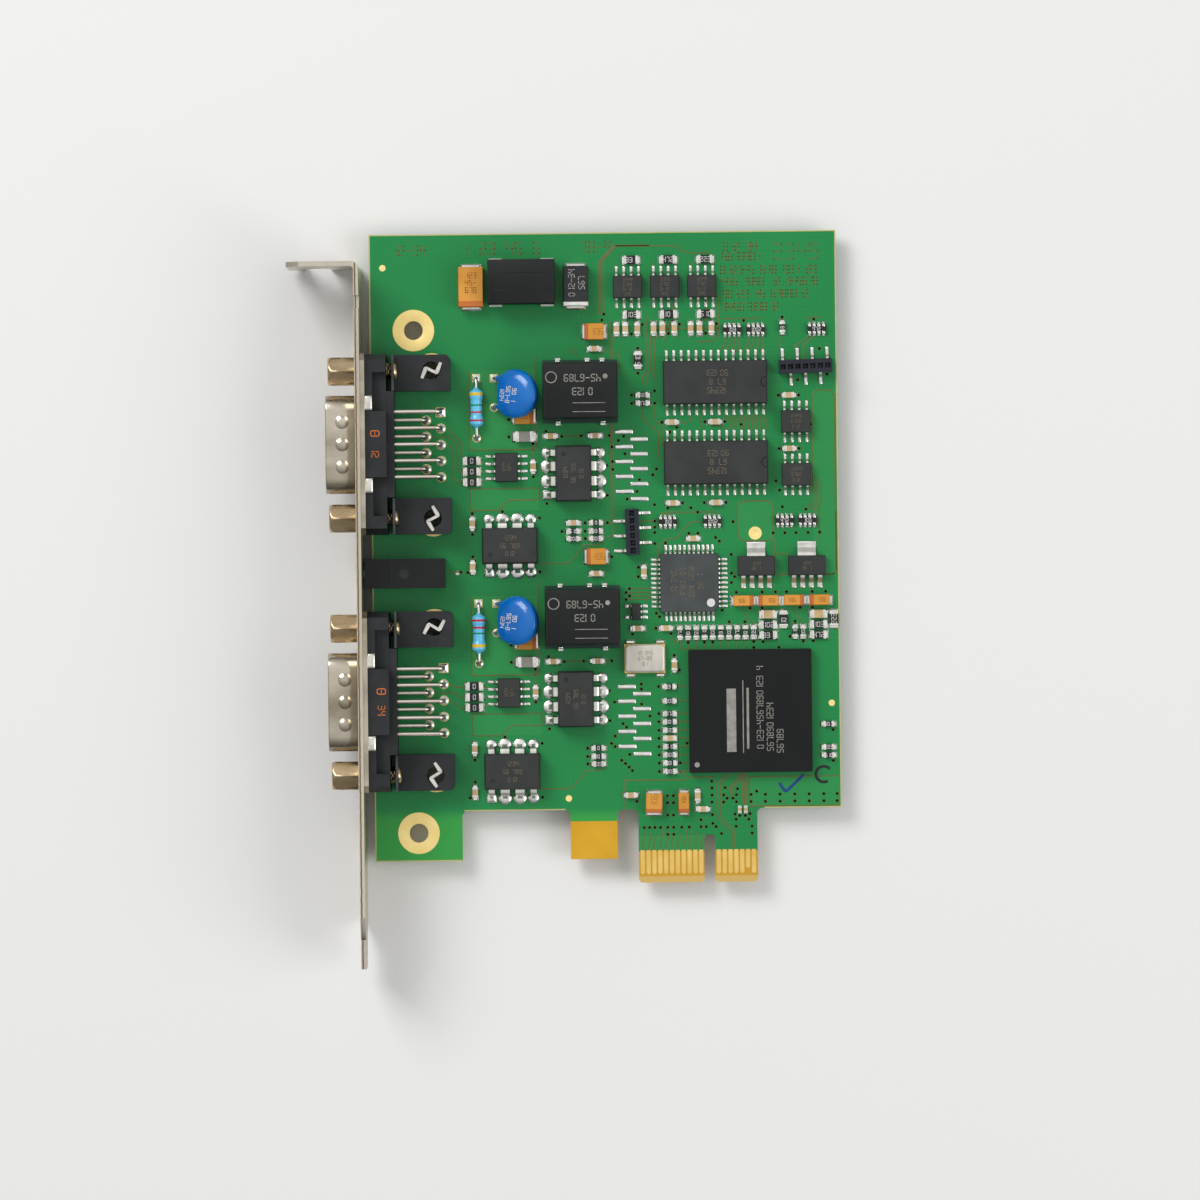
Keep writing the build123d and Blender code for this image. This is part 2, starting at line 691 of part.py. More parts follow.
def logic_chip():
    base = Rectangle(LOGIC_SIZE, LOGIC_SIZE)
    corner = [v for v in base.vertices() if v.X > 0 and v.Y < 0]
    base = chamfer(corner, LOGIC_CUT)
    lower = Pos(0, 0, STANDOFF) * extrude(base, amount=LOGIC_SEAT - STANDOFF)
    upper = Pos(0, 0, LOGIC_SEAT) * extrude(base, amount=LOGIC_TOP - LOGIC_SEAT, taper=9)
    return place(lower + upper, *LOGIC_CENTRE)


def logic_leads():
    leads = []
    for turn in (0, 90):
        leads += row_of_leads(straight_lead, LOGIC_ROW, LOGIC_SIZE / 2, *LOGIC_CENTRE, turn)
    return leads


# Large bridge chip on a field of solder balls
BRIDGE_CENTRE = (7.16, 29.2)
BRIDGE_SIZE = 21.0
BRIDGE_TOP = 1.9
BALL_HEIGHT = 0.4
BALL_INSET = 0.75


def bridge_chip():
    x, y = BRIDGE_CENTRE
    plate = standing_block(x, y, BALL_HEIGHT, BRIDGE_SIZE, BRIDGE_SIZE, BRIDGE_TOP - BALL_HEIGHT)
    field = BRIDGE_SIZE - 2 * BALL_INSET
    return plate + standing_block(x, y, 0, field, field, BALL_HEIGHT)


# Regulators: a heat tab above and four leads below
REGULATOR_PLACES = [(8.44, 53.9), (17.08, 53.9)]
REGULATOR_BODY = (6.4, 3.4, 1.7, 1.0)
REGULATOR_TAB = (0, 3.15, 2.2, 1.0)
REGULATOR_ROW = even_row(4, 1.48, 0.75, 1.9, 1.0)

# Small supply monitor with three leads on one side and two on the other
MONITOR_CENTRE = (-12.16, 46.3)
MONITOR_BODY = (2.8, 1.6, 1.1, 0.6)
MONITOR_PITCH = 0.95

# Oscillator
OSCILLATOR_CENTRE = (-10.75, 38.3)
OSCILLATOR_SIZE = (6.9, 4.9)
OSCILLATOR_BASE_HEIGHT = 1.0
OSCILLATOR_LID_HEIGHT = 0.35
OSCILLATOR_RIM = 0.25

# Socket headers: middle, turn, number of holes
HEADER_PITCH = 1.27
HEADER_WIDTH = 2.35
HEADER_HEIGHT = 2.2
HEADER_HOLE = 0.85
HEADER_HOLE_DEPTH = 1.5
HEADER_REACH = 1.6
HEADER_LEAD = 0.5
HEADER_WALL = 0.2
HEADER_PLACES = [((-12.65, 59.95), 91.6), ((17.2, 87.9), 1.8)]
HEADER_HOLES = [6, 7]


def header(centre, turn, holes):
    length = holes * HEADER_PITCH + HEADER_WALL
    body = standing_block(0, 0, STANDOFF, length, HEADER_WIDTH, HEADER_HEIGHT - STANDOFF)
    cutters = []
    for i in range(holes):
        x = (i - (holes - 1) / 2) * HEADER_PITCH
        cutters.append(standing_block(x, 0, HEADER_HEIGHT - HEADER_HOLE_DEPTH, HEADER_HOLE, HEADER_HOLE, 2))
    return place(body - cutters, *centre, turn)


def header_leads(centre, turn, holes):
    leads = []
    for i in range(holes):
        x = (i - (holes - 1) / 2) * HEADER_PITCH
        side = 1 if i % 2 == 0 else -1
        lead = straight_lead(HEADER_REACH, HEADER_LEAD, 0.7)
        spot = Pos(x, side * HEADER_WIDTH / 2, 0) * Rot(0, 0, 90 * side)
        leads.append(Pos(*centre, 0) * Rot(0, 0, turn) * spot * lead)
    return leads


# Moulded tantalum capacitors: x, y, turn, size kind
SLIM = (3.45, 1.85, 1.6, 1.2)
WIDE = (3.3, 2.85, 1.9, 2.2)
TALL = (6.9, 4.3, 2.9, 2.9)
TANTALUM_PLACES = [
    (6.2, 47.97, 0, SLIM),
    (10.5, 47.97, 180, SLIM),
    (14.8, 48.0, 0, SLIM),
    (19.2, 48.0, 180, SLIM),
    (-4.38, 13.62, -90, SLIM),
    (-18.8, 94.2, 180, WIDE),
    (-18.85, 55.8, 180, WIDE),
    (-30.95, 79.95, 0, WIDE),
    (-30.95, 79.95 - CHANNEL_STEP, 0, WIDE),
    (-9.45, 13.6, -92, WIDE),
    (-39.75, 102.0, -90, TALL),
    (-21.87, 102.0, -90, TALL),
]
CAP_TERMINAL = 0.3
CAP_TERMINAL_HEIGHT = 0.55


def tantalum(x, y, turn, kind):
    length, width, height, _ = kind
    lower = standing_block(0, 0, STANDOFF, length, width, height / 2 - STANDOFF)
    upper = Pos(0, 0, height / 2) * extrude(Rectangle(length, width), amount=height / 2, taper=6)
    return place(lower + upper, x, y, turn)


def tantalum_terminals(x, y, turn, kind):
    length, _, height, width = kind
    strips = []
    for side in (1, -1):
        strip = standing_block(side * (length + CAP_TERMINAL) / 2, 0, 0, CAP_TERMINAL, width, CAP_TERMINAL_HEIGHT * height)
        strips.append(place(strip, x, y, turn))
    return strips


# Input filter at the top of the board
FILTER_CENTRE = (-31.15, 102.75)
FILTER_SIZE = (11.4, 7.6, 5.5)
FILTER_FOOT = 0.4

# Chip parts: places by kind, turn 90 for those that stand along Y
DRIVER_CAP_XS = (-14.97, -13.46, -11.42)
ROW_PITCH = 1.4
ROW_START = -4.72
COLUMN_X = -6.6
COLUMN_RESISTOR_YS = (33.44, 31.0, 28.84, 27.45, 26.0, 23.2, 21.8, 20.4, 18.97)
COLUMN_CAP_Y = 24.63
STACK_X = -18.83
STACK_YS = (61.6, 60.17, 58.87)


def small_capacitors():
    flat = [(-18.8, 91.3), (-5.7, 78.6), (1.68, 78.6), (-5.67, 64.8), (1.73, 64.8), (14.34, 83.03), (14.34, 73.9)]
    flat += [(-18.88, 52.9), (-11.92, 43.43), (-7.08, 43.43), (-2.26, 58.7), (-13.4, 14.96), (-1.12, 12.46)]
    flat += [(-22.7, STACK_YS[0]), (COLUMN_X, COLUMN_CAP_Y)]
    upright = [(x + i * DRIVER_PITCH, 94.6) for i in range(3) for x in DRIVER_CAP_XS]
    upright += [(-10.75, 53.1), (-5.72, 37.07), (-2.0, 14.75)]
    for dy in CHANNELS:
        flat += [(-26.4, 76.46 + dy), (-18.83, 76.46 + dy)]
        upright += [(-29.47, 71.28 + dy), (-39.97, 61.65 + dy), (-39.97, 54.2 + dy)]
    return flat, upright


def small_resistors():
    flat = [(-10.6, 83.3), (-10.6, 81.9), (20.5, 26.78), (20.5, 22.85), (20.5, 21.45)]
    flat += [(STACK_X, y + dy) for dy in CHANNELS for y in STACK_YS]
    flat += [(-22.7, y) for y in STACK_YS[1:]]
    flat += [(COLUMN_X, y) for y in COLUMN_RESISTOR_YS]
    upright = [(ROW_START + i * ROW_PITCH, 42.6) for i in range(10)]
    upright += [(14.97, 42.6), (16.35, 42.6), (13.35, 94.6)]
    return flat, upright


def medium_resistors():
    flat = [(-39.94, y + dy) for dy in CHANNELS for y in (72.36, 70.52, 68.72)]
    flat += [(-12.37 + i * DRIVER_PITCH, y) for i in range(3) for y in (106.4, 97.05)]
    flat += [(x, y) for x in (10.38, 19.0) for y in (43.82, 42.05)]
    upright = [(13.03, 44.73), (21.6, 44.73), (-11.37, 89.3)]
    return flat, upright


def medium_capacitors():
    return [(10.38, 45.6), (19.0, 45.6)], []


def large_capacitors():
    return [(-30.87, 76.4 + dy) for dy in CHANNELS], []


def chips(places, size):
    flat, upright = places
    length, width, height = size
    made = [standing_block(x, y, 0, length, width, height) for x, y in flat]
    return made + [standing_block(x, y, 0, width, length, height) for x, y in upright]


NETWORK_PLACES = [(4.75, 94.26), (8.8, 94.26), (19.2, 94.26), (-6.6, 61.6), (1.0, 61.6), (13.38, 61.6), (17.28, 61.6)]


def converter_feet(dy):
    """Solder feet under the base of a converter."""
    feet = []
    for x, side in CONVERTER_FEET:
        y = CONVERTER_Y + dy + side * (CONVERTER_BASE[1] / 2 - 0.25)
        feet.append(standing_block(CONVERTER_X + x, y, 0, 0.8, 1.2, CONVERTER_STANDOFF))
    return feet


def disc_body(dy):
    """Leaning disc of many flats with bevelled rims, coated in one piece."""
    outline = RegularPolygon(DISC_RADIUS, 24)
    rim_z = DISC_THICK / 2 - DISC_EDGE
    bevel = Pos(0, 0, rim_z) * extrude(outline, amount=DISC_EDGE, taper=45)
    disc = Pos(0, 0, -rim_z) * extrude(outline, amount=2 * rim_z) + bevel + mirror(bevel, Plane.XY)
    middle_y = sum(DISC_LEAD_YS) / 2 + dy
    upright = Pos(0, 0, DISC_RADIUS) * Rot(0, 90, 0) * disc
    return Pos(DISC_X + 1.7, middle_y, DISC_LIFT) * Rot(0, DISC_LEAN, 0) * upright


def upright_lead(x, y, top, radius):
    return thin_rod(x, y, -BOARD_THICK - TAIL, top, radius)


def axial_body(dy):
    """Resistor body: a waist between two fuller ends, lying on the board."""
    y = AXIAL_BODY_Y + dy
    z = AXIAL_END_RADIUS
    waist = extrude(RegularPolygon(AXIAL_WAIST_RADIUS, 16), amount=AXIAL_LENGTH / 2, both=True)
    end = extrude(RegularPolygon(AXIAL_END_RADIUS, 16), amount=AXIAL_END_LENGTH / 2, both=True)
    body = Pos(AXIAL_X, y, z) * Rot(90, 0, 0) * waist
    for side in (1, -1):
        end_y = y + side * (AXIAL_LENGTH - AXIAL_END_LENGTH) / 2
        body += Pos(AXIAL_X, end_y, z) * Rot(90, 0, 0) * end
    return body


def axial_leads(dy):
    """A bent wire from each end of the body down through the board."""
    leads = []
    z = AXIAL_END_RADIUS
    for pad_y, side in zip(AXIAL_LEAD_YS, (1, -1)):
        end_y = AXIAL_BODY_Y + side * AXIAL_LENGTH / 2 + dy
        reach = side * (pad_y + dy - end_y) + AXIAL_LEAD_RADIUS
        section = Pos(AXIAL_X, end_y, z) * Rot(-90 * side, 0, 0) * RegularPolygon(AXIAL_LEAD_RADIUS, 8)
        wire = extrude(section, amount=reach)
        leads.append(wire + upright_lead(AXIAL_X, pad_y + dy, z, AXIAL_LEAD_RADIUS))
    return leads


save("circuit_board", circuit_board())
save("edge_contacts", *edge_contacts())
save("latch_tab_plating", latch_plating())
save("slot_bracket", slot_bracket())

for where, centre_y in CONNECTOR_YS.items():
    save(f"{where}_shell", connector_shell(centre_y))
    save(f"{where}_housing", connector_housing(centre_y))
    save(f"{where}_contacts", *[connector_contact(*spot) for spot in contact_places(centre_y)])
    save(f"{where}_feet", *[connector_foot(centre_y, side) for side in (1, -1)])

ENDS = [(centre_y, side) for centre_y in CONNECTOR_YS.values() for side in (1, -1)]
save("nut_plates", *[nut_plate(centre_y, side) for centre_y, side in ENDS])
save("jackscrews", *[jackscrew(centre_y + side * SCREW_SPACING / 2) for centre_y, side in ENDS])
LOCK_TURNS = (0, 0, -65, 0)
save("board_locks", *[board_lock(y + side * LOCK_OFFSET, turn) for (y, side), turn in zip(ENDS, LOCK_TURNS)])

save("light_housing", light_housing())
save("light_lens", flat_rod_along_x(LIGHT_FRONT_X - LENS_REACH, LIGHT_FRONT_X, LIGHT_Y, LENS_Z, LENS_RADIUS, 16))
save("light_leads", *[upright_lead(x, y, 0, DISC_LEAD_RADIUS) for x, y in light_lead_places()])

base_top = CONVERTER_STANDOFF + CONVERTER_BASE_THICK
bases = [
    standing_block(CONVERTER_X, CONVERTER_Y + dy, CONVERTER_STANDOFF, *CONVERTER_BASE, CONVERTER_BASE_THICK)
    for dy in CHANNELS
]
cases = [
    standing_block(CONVERTER_X, CONVERTER_Y + dy, base_top, *CONVERTER_CASE, CONVERTER_TOP - base_top)
    for dy in CHANNELS
]
save("converter_bases", *bases)
save("converter_cases", *cases)
save("converter_feet", *[foot for dy in CHANNELS for foot in converter_feet(dy)])

save("disc_suppressors", *[disc_body(dy) for dy in CHANNELS])
disc_wires = [upright_lead(DISC_X, y + dy, DISC_LIFT + 0.8, DISC_LEAD_RADIUS) for dy in CHANNELS for y in DISC_LEAD_YS]
save("disc_leads", *disc_wires)
save("axial_resistors", *[axial_body(dy) for dy in CHANNELS])
save("axial_resistor_leads", *[lead for dy in CHANNELS for lead in axial_leads(dy)])

save_family("driver", SO8_BODY, SO8_ROW, DRIVER_PLACES, straight_lead)
save_family("memory", SO8_BODY, SO8_ROW, MEMORY_PLACES, straight_lead)
save_family("transceiver", SO8_BODY, SO8_ROW, TRANSCEIVER_PLACES, straight_lead)
save_family("controller", SO28_BODY, SO28_ROW, CONTROLLER_PLACES, straight_lead)
save_family("isolator", ISOLATOR_BODY, ISOLATOR_ROW, ISOLATOR_PLACES, straight_lead)
save("logic_chip", logic_chip())
save("logic_chip_leads", *logic_leads())
save("bridge_chip", bridge_chip())

save("regulator_bodies", *[place(package(*REGULATOR_BODY), x, y) for x, y in REGULATOR_PLACES])
regulator_leads = []
for x, y in REGULATOR_PLACES:
    regulator_leads += row_of_leads(gull_lead, [REGULATOR_TAB], REGULATOR_BODY[1] / 2, x, y, 0, (1,))
    regulator_leads += row_of_leads(gull_lead, REGULATOR_ROW, REGULATOR_BODY[1] / 2, x, y, 0, (-1,))
save("regulator_leads", *regulator_leads)

save("monitor_chip", place(package(*MONITOR_BODY), *MONITOR_CENTRE, 90))
outer = [(s * MONITOR_PITCH, 0.4, 0.75, 0.6) for s in (1, -1)]
middle = [(0, 0.4, 0.75, 0.6)]
monitor_leads = row_of_leads(gull_lead, outer, MONITOR_BODY[1] / 2, *MONITOR_CENTRE, 90, (1, -1))
monitor_leads += row_of_leads(gull_lead, middle, MONITOR_BODY[1] / 2, *MONITOR_CENTRE, 90, (-1,))
save("monitor_chip_leads", *monitor_leads)

save("oscillator_base", standing_block(*OSCILLATOR_CENTRE, 0, *OSCILLATOR_SIZE, OSCILLATOR_BASE_HEIGHT))
lid_size = [side - 2 * OSCILLATOR_RIM for side in OSCILLATOR_SIZE]
save("oscillator_lid", standing_block(*OSCILLATOR_CENTRE, OSCILLATOR_BASE_HEIGHT, *lid_size, OSCILLATOR_LID_HEIGHT))

header_spots = [(*spot, holes) for spot, holes in zip(HEADER_PLACES, HEADER_HOLES)]
save("socket_headers", *[header(*spot) for spot in header_spots])
save("header_leads", *[lead for spot in header_spots for lead in header_leads(*spot)])

save("tantalum_capacitors", *[tantalum(*spot) for spot in TANTALUM_PLACES[:-1]])
save("striped_capacitor", tantalum(*TANTALUM_PLACES[-1]))
save("capacitor_terminals", *[strip for spot in TANTALUM_PLACES for strip in tantalum_terminals(*spot)])

save("input_filter", standing_block(*FILTER_CENTRE, FILTER_FOOT, *FILTER_SIZE))
filter_feet = [
    standing_block(FILTER_CENTRE[0] + side * 4.4, FILTER_CENTRE[1], 0, 2.2, FILTER_SIZE[1] + 0.6, FILTER_FOOT)
    for side in (1, -1)
]
save("input_filter_terminals", *filter_feet)

save("chip_capacitors", *chips(small_capacitors(), SMALL_CHIP), *chips(medium_capacitors(), MEDIUM_CHIP))
save("large_chip_capacitors", *chips(large_capacitors(), LARGE_CHIP))
save("tiny_chip_capacitors", *[standing_block(x, 12.33, 0, TINY_CHIP[1], TINY_CHIP[0], TINY_CHIP[2]) for x in (5.16, 6.2)])
save("chip_resistors", *chips(small_resistors(), SMALL_CHIP), *chips(medium_resistors(), MEDIUM_CHIP))
save("resistor_networks", *[standing_block(x, y, 0, *NETWORK_CHIP) for x, y in NETWORK_PLACES])
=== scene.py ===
# %% [markdown]
# # A plug-in interface card, dressed in Blender
# The card's solid shapes come from a CAD model that is loaded below as a fixed frame. This
# file adds what a solid model leaves out: solder, plated rings, bent leads, copper tracks under
# the green mask, round wires and the finish of every material. Lengths are written in
# millimetres, because that is how circuit boards are measured, and become metres when a mesh is
# made. The board's face is at height zero and its back at minus its thickness, BOARD. The card has
# two channels with the same parts, and CHANNELS holds how far up or down each one is moved.

import math

import bpy
import numpy as np
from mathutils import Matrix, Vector


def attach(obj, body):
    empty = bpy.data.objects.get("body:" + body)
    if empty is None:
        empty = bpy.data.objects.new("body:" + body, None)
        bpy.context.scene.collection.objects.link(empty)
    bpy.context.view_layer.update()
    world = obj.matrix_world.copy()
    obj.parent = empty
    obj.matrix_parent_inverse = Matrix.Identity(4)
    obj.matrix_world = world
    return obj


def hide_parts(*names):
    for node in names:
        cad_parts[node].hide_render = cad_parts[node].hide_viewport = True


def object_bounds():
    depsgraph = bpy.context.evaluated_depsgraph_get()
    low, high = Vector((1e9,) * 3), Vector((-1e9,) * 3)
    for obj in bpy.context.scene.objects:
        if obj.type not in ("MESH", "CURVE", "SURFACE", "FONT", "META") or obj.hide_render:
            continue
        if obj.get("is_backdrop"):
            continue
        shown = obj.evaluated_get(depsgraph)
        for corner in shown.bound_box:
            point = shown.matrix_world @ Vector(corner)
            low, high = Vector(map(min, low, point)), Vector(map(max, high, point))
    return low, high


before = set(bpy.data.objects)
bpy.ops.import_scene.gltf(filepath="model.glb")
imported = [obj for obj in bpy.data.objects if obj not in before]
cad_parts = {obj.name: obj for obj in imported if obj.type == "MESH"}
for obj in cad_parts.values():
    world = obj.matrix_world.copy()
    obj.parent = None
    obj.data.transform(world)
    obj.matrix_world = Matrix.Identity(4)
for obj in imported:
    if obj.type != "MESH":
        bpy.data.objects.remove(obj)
cad_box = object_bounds()
MM = 0.001
BOARD = 1.57
CHANNELS = (0, -38.5)
print("frame:", len(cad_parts), "CAD nodes, box", [tuple(round(c, 4) for c in p) for p in cad_box])

# %% [markdown]
# ## Surfaces from arrays
# Nearly every small part of a circuit board is an outline that is stacked upwards, a section
# carried along a bent path, or a profile turned about an axis. All three are grids of points:
# rows along the shape and columns around it. One class gathers such grids, for any number of
# copies at once, and turns them into one mesh, which is much quicker than making hundreds of
# separate objects.


# %% Grids that become one mesh
def grid_faces(rows, columns, ring=False):
    """Four corners of each face between neighbouring rows and columns. The last column joins the first,
    and in a ring the last row joins the first row too."""
    i = np.arange(rows if ring else rows - 1)[:, None]
    j = np.arange(columns)[None, :]
    k = (j + 1) % columns
    on = (i + 1) % rows
    corners = [i * columns + j, i * columns + k, on * columns + k, on * columns + j]
    return np.stack(np.broadcast_arrays(*corners), axis=-1).reshape(-1, 4)


class Batch:
    """Closed grids, gathered until they become one object. A grid is an array of (copies, rows, columns,
    xyz) in millimetres, with its columns counter-clockwise round the direction of the rows."""

    def __init__(self):
        """Starts empty: lists of points and faces, and how many points there are."""
        self.points = []
        self.faces = []
        self.count = 0

    def add(self, points, ring=False):
        """Flat caps close the first and the last row, or a ring joins them to each other."""
        points = np.asarray(points, float)
        if points.ndim == 3:
            points = points[None]
        copies, rows, columns, _ = points.shape
        first = self.count + np.arange(copies)[:, None, None] * rows * columns
        self.faces.append((grid_faces(rows, columns, ring)[None] + first).reshape(-1, 4))
        if not ring:
            around = np.arange(columns)
            start = around[::-1][None, None, :]
            end = ((rows - 1) * columns + around)[None, None, :]
            self.faces.append((start + first).reshape(-1, columns))
            self.faces.append((end + first).reshape(-1, columns))
        self.points.append(points.reshape(-1, 3))
        self.count += copies * rows * columns
        return self


CREASE = math.radians(38)


def make_piece(name, batch, material, replaces=()):
    """One object from a batch: points, face corners and face sizes go into the mesh as whole arrays. Edges
    that bend by more than CREASE stay sharp."""
    points = np.concatenate(batch.points) * MM
    sizes = np.concatenate([np.full(len(f), f.shape[1]) for f in batch.faces]).astype(np.int32)
    corners = np.concatenate([f.ravel() for f in batch.faces]).astype(np.int32)
    mesh = bpy.data.meshes.new(name)
    mesh.vertices.add(len(points))
    mesh.vertices.foreach_set("co", points.astype(np.float32).ravel())
    mesh.loops.add(len(corners))
    mesh.loops.foreach_set("vertex_index", corners)
    mesh.polygons.add(len(sizes))
    mesh.polygons.foreach_set("loop_start", (np.cumsum(sizes) - sizes).astype(np.int32))
    mesh.polygons.foreach_set("use_smooth", np.ones(len(sizes), bool))
    mesh.update(calc_edges=True)
    mesh.set_sharp_from_angle(angle=CREASE)
    mesh.materials.append(material)
    piece = bpy.data.objects.new(name, mesh)
    bpy.context.scene.collection.objects.link(piece)
    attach(piece, "root")
    if replaces:
        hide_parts(*replaces)
    triangles = int((sizes - 2).sum())
    print(f"{name}: {len(points)} points, {triangles} triangles")
    return piece


# %% [markdown]
# ## Three ways to shape a grid
# A stacked outline makes pads, solder mounds, chip bodies and lids: the same rounded rectangle
# at several heights, a little larger or smaller each time. A carried section makes leads and
# wires. A turned profile makes rings, domes and threads.


# %% Stacked outlines
def stacked(centre, half, levels, corner=0.1, turn=0.0, steps=2):
    """Rounded rectangles on top of each other. Each level is (growth, height). A point is the corner's own
    centre plus the corner radius times (cos a, sin a), turned about the middle and moved to its place."""
    centre = np.atleast_2d(np.asarray(centre, float))
    copies = len(centre)
    half = np.broadcast_to(np.asarray(half, float), (copies, 2))[:, None, None, :]
    turn = np.broadcast_to(np.radians(turn), (copies,))[:, None, None]
    levels = np.asarray(levels, float)
    if levels.ndim == 2:
        levels = np.broadcast_to(levels, (copies, *levels.shape))
    growth = levels[:, :, None, 0]
    quarter = np.linspace(0, np.pi / 2, steps + 1)
    angle = np.concatenate([quarter + k * np.pi / 2 for k in range(4)])[None, None, :]
    side_x = np.repeat([1, -1, -1, 1], steps + 1)[None, None, :]
    side_y = np.repeat([1, 1, -1, -1], steps + 1)[None, None, :]
    radius = np.maximum(corner + growth, 0.015)
    x = side_x * (half[..., 0] + growth - radius) + radius * np.cos(angle)
    y = side_y * (half[..., 1] + growth - radius) + radius * np.sin(angle)
    c, s = np.cos(turn), np.sin(turn)
    z = np.broadcast_to(levels[:, :, None, 1], x.shape)
    px = centre[:, None, None, 0] + x * c - y * s
    py = centre[:, None, None, 1] + x * s + y * c
    return np.stack([px, py, z], axis=-1)


# %% Sections carried along a path
def rounded_path(points, radius, steps=4):
    """A path of straight runs whose corners are quadratic curves, (1-t)^2 A + 2t(1-t) B + t^2 C, with A
    and C the given distance before and after the corner B."""
    points = np.asarray(points, float)
    t = np.linspace(0, 1, steps + 1)[:, None]
    runs = [points[:1]]
    for before, corner, after in zip(points[:-2], points[1:-1], points[2:]):
        back, on = before - corner, after - corner
        a = corner + back * min(radius / np.linalg.norm(back), 0.48)
        c = corner + on * min(radius / np.linalg.norm(on), 0.48)
        runs.append((1 - t) ** 2 * a + 2 * t * (1 - t) * corner + t**2 * c)
    return np.concatenate([*runs, points[-1:]])


def carried(section, path, root, direction):
    """A section carried along a path of (reach, height), for many copies. A point is the root, plus the
    path along the direction and upwards, plus the section's first value across and its second along the
    path's normal."""
    section = np.asarray(section, float)
    root = np.atleast_2d(np.asarray(root, float))
    direction = np.broadcast_to(np.asarray(direction, float), (len(root), 2))
    path = np.asarray(path, float)
    tangent = np.gradient(path, axis=0)
    tangent /= np.linalg.norm(tangent, axis=1, keepdims=True)
    normal = np.stack([-tangent[:, 1], tangent[:, 0]], axis=1)
    if section.ndim == 2:
        section = np.broadcast_to(section, (len(path), *section.shape))
    reach = path[:, None, 0] + normal[:, None, 0] * section[..., 1]
    height = path[:, None, 1] + normal[:, None, 1] * section[..., 1]
    across = np.stack([-direction[:, 1], direction[:, 0]], axis=1)
    plan = reach[None, :, :, None] * direction[:, None, None, :]
    plan = plan + section[None, ..., :1] * across[:, None, None, :] + root[:, None, None, :2]
    level = np.broadcast_to(height[None] + root[:, None, None, 2], plan.shape[:3])
    return np.concatenate([plan, level[..., None]], axis=-1)


def flat_section(width, thick, edge=0.04):
    """A rectangle with cut corners, counter-clockwise, as (across, up)."""
    w, t = width / 2, thick / 2
    return [(w, -t + edge), (w, t - edge), (w - edge, t), (-w + edge, t), (-w, t - edge),
        (-w, -t + edge), (-w + edge, -t), (w - edge, -t)]


def round_section(radius, sides=12):
    """A circle of (radius cos a, radius sin a)."""
    a = np.arange(sides) * 2 * np.pi / sides
    return np.stack([radius * np.cos(a), radius * np.sin(a)], axis=1)


# %% Turned profiles
def turned(profile, centre, sides=24, axis="z"):
    """A profile of (radius, height) turned about an axis through each centre: (r cos a, r sin a, h), with
    the three places moved on by one for an axis along x."""
    profile = np.asarray(profile, float)
    centre = np.atleast_2d(np.asarray(centre, float))
    a = np.arange(sides) * 2 * np.pi / sides
    r, h = profile[:, :1], profile[:, 1:]
    ring = np.stack([r * np.cos(a), r * np.sin(a), h + 0 * a], axis=-1)
    if axis == "x":
        ring = ring[..., [2, 0, 1]]
    return ring[None] + centre[:, None, None, :]


# %% [markdown]
# ## Reading places from the frame
# The frame already knows where each chip, lead and terminal sits. A node that holds many like
# solids stores the same number of triangles for each, so its points can be cut into equal shares
# and measured. That keeps the added pieces exactly on the solids that they dress.


# %% Boxes and leads of the CAD nodes
def solids_in(node, solids):
    """The corner points of a node's triangles in millimetres, as an array of (solid, point, xyz)."""
    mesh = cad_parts[node].data
    points = np.zeros(len(mesh.vertices) * 3, np.float32)
    mesh.vertices.foreach_get("co", points)
    index = np.zeros(len(mesh.loops), np.int32)
    mesh.loops.foreach_get("vertex_index", index)
    return points.reshape(-1, 3)[index].reshape(solids, -1, 3).astype(float) / MM


def boxes_in(node, solids):
    """Middle and half size of each solid of a node: the mean of its extremes and half their difference."""
    points = solids_in(node, solids)
    low, high = points.min(axis=1), points.max(axis=1)
    return (low + high) / 2, (high - low) / 2


def leads_in(node, solids):
    """Root, direction, reach, width and height of each slanted lead. Its root is the mean of its highest
    points, its direction leads to the mean of its lowest, and its reach is its farthest point that way."""
    points = solids_in(node, solids)
    z = points[..., 2]
    top, low = z.max(axis=1, keepdims=True), z.min(axis=1, keepdims=True)
    is_root = (z > top - 0.01)[..., None]
    is_tip = (z < low + 0.01)[..., None]
    root = (points * is_root).sum(axis=1) / is_root.sum(axis=1)
    tip = (points * is_tip).sum(axis=1) / is_tip.sum(axis=1)
    away = (tip - root)[:, :2]
    direction = away / np.linalg.norm(away, axis=1, keepdims=True)
    reach = ((points - root[:, None])[..., :2] * direction[:, None, :]).sum(axis=-1).max(axis=1)
    across = np.stack([-direction[:, 1], direction[:, 0]], axis=1)
    spread = (points[..., :2] * across[:, None, :]).sum(axis=-1)
    width = spread.max(axis=1) - spread.min(axis=1)
    tip = root[:, :2] + direction * reach[:, None]
    height = top[0, 0]
    parts = {"root": root, "direction": direction, "reach": reach, "width": width}
    return {**parts, "height": height, "tip": tip}


# %% [markdown]
# ## Finishes
# Every finish is a Principled shader whose colour drifts a little over the surface and whose
# roughness and bump come from fine noise in the object's own coordinates, so it stays in place
# from every side. Two effects are used again and again, a slow drift between two colours and a
# fine grain, and both are node groups. What stays the same all over a surface is set on the
# shader itself.


# %% Node helpers and two shared groups
def srgb(red, green, blue):
    """A screen colour of 0 to 255 as the linear colour that shaders use: ((c + 0.055) / 1.055) ^ 2.4."""
    c = np.array([red, green, blue]) / 255
    linear = np.where(c <= 0.04045, c / 12.92, ((c + 0.055) / 1.055) ** 2.4)
    return (*[float(v) for v in linear], 1.0)


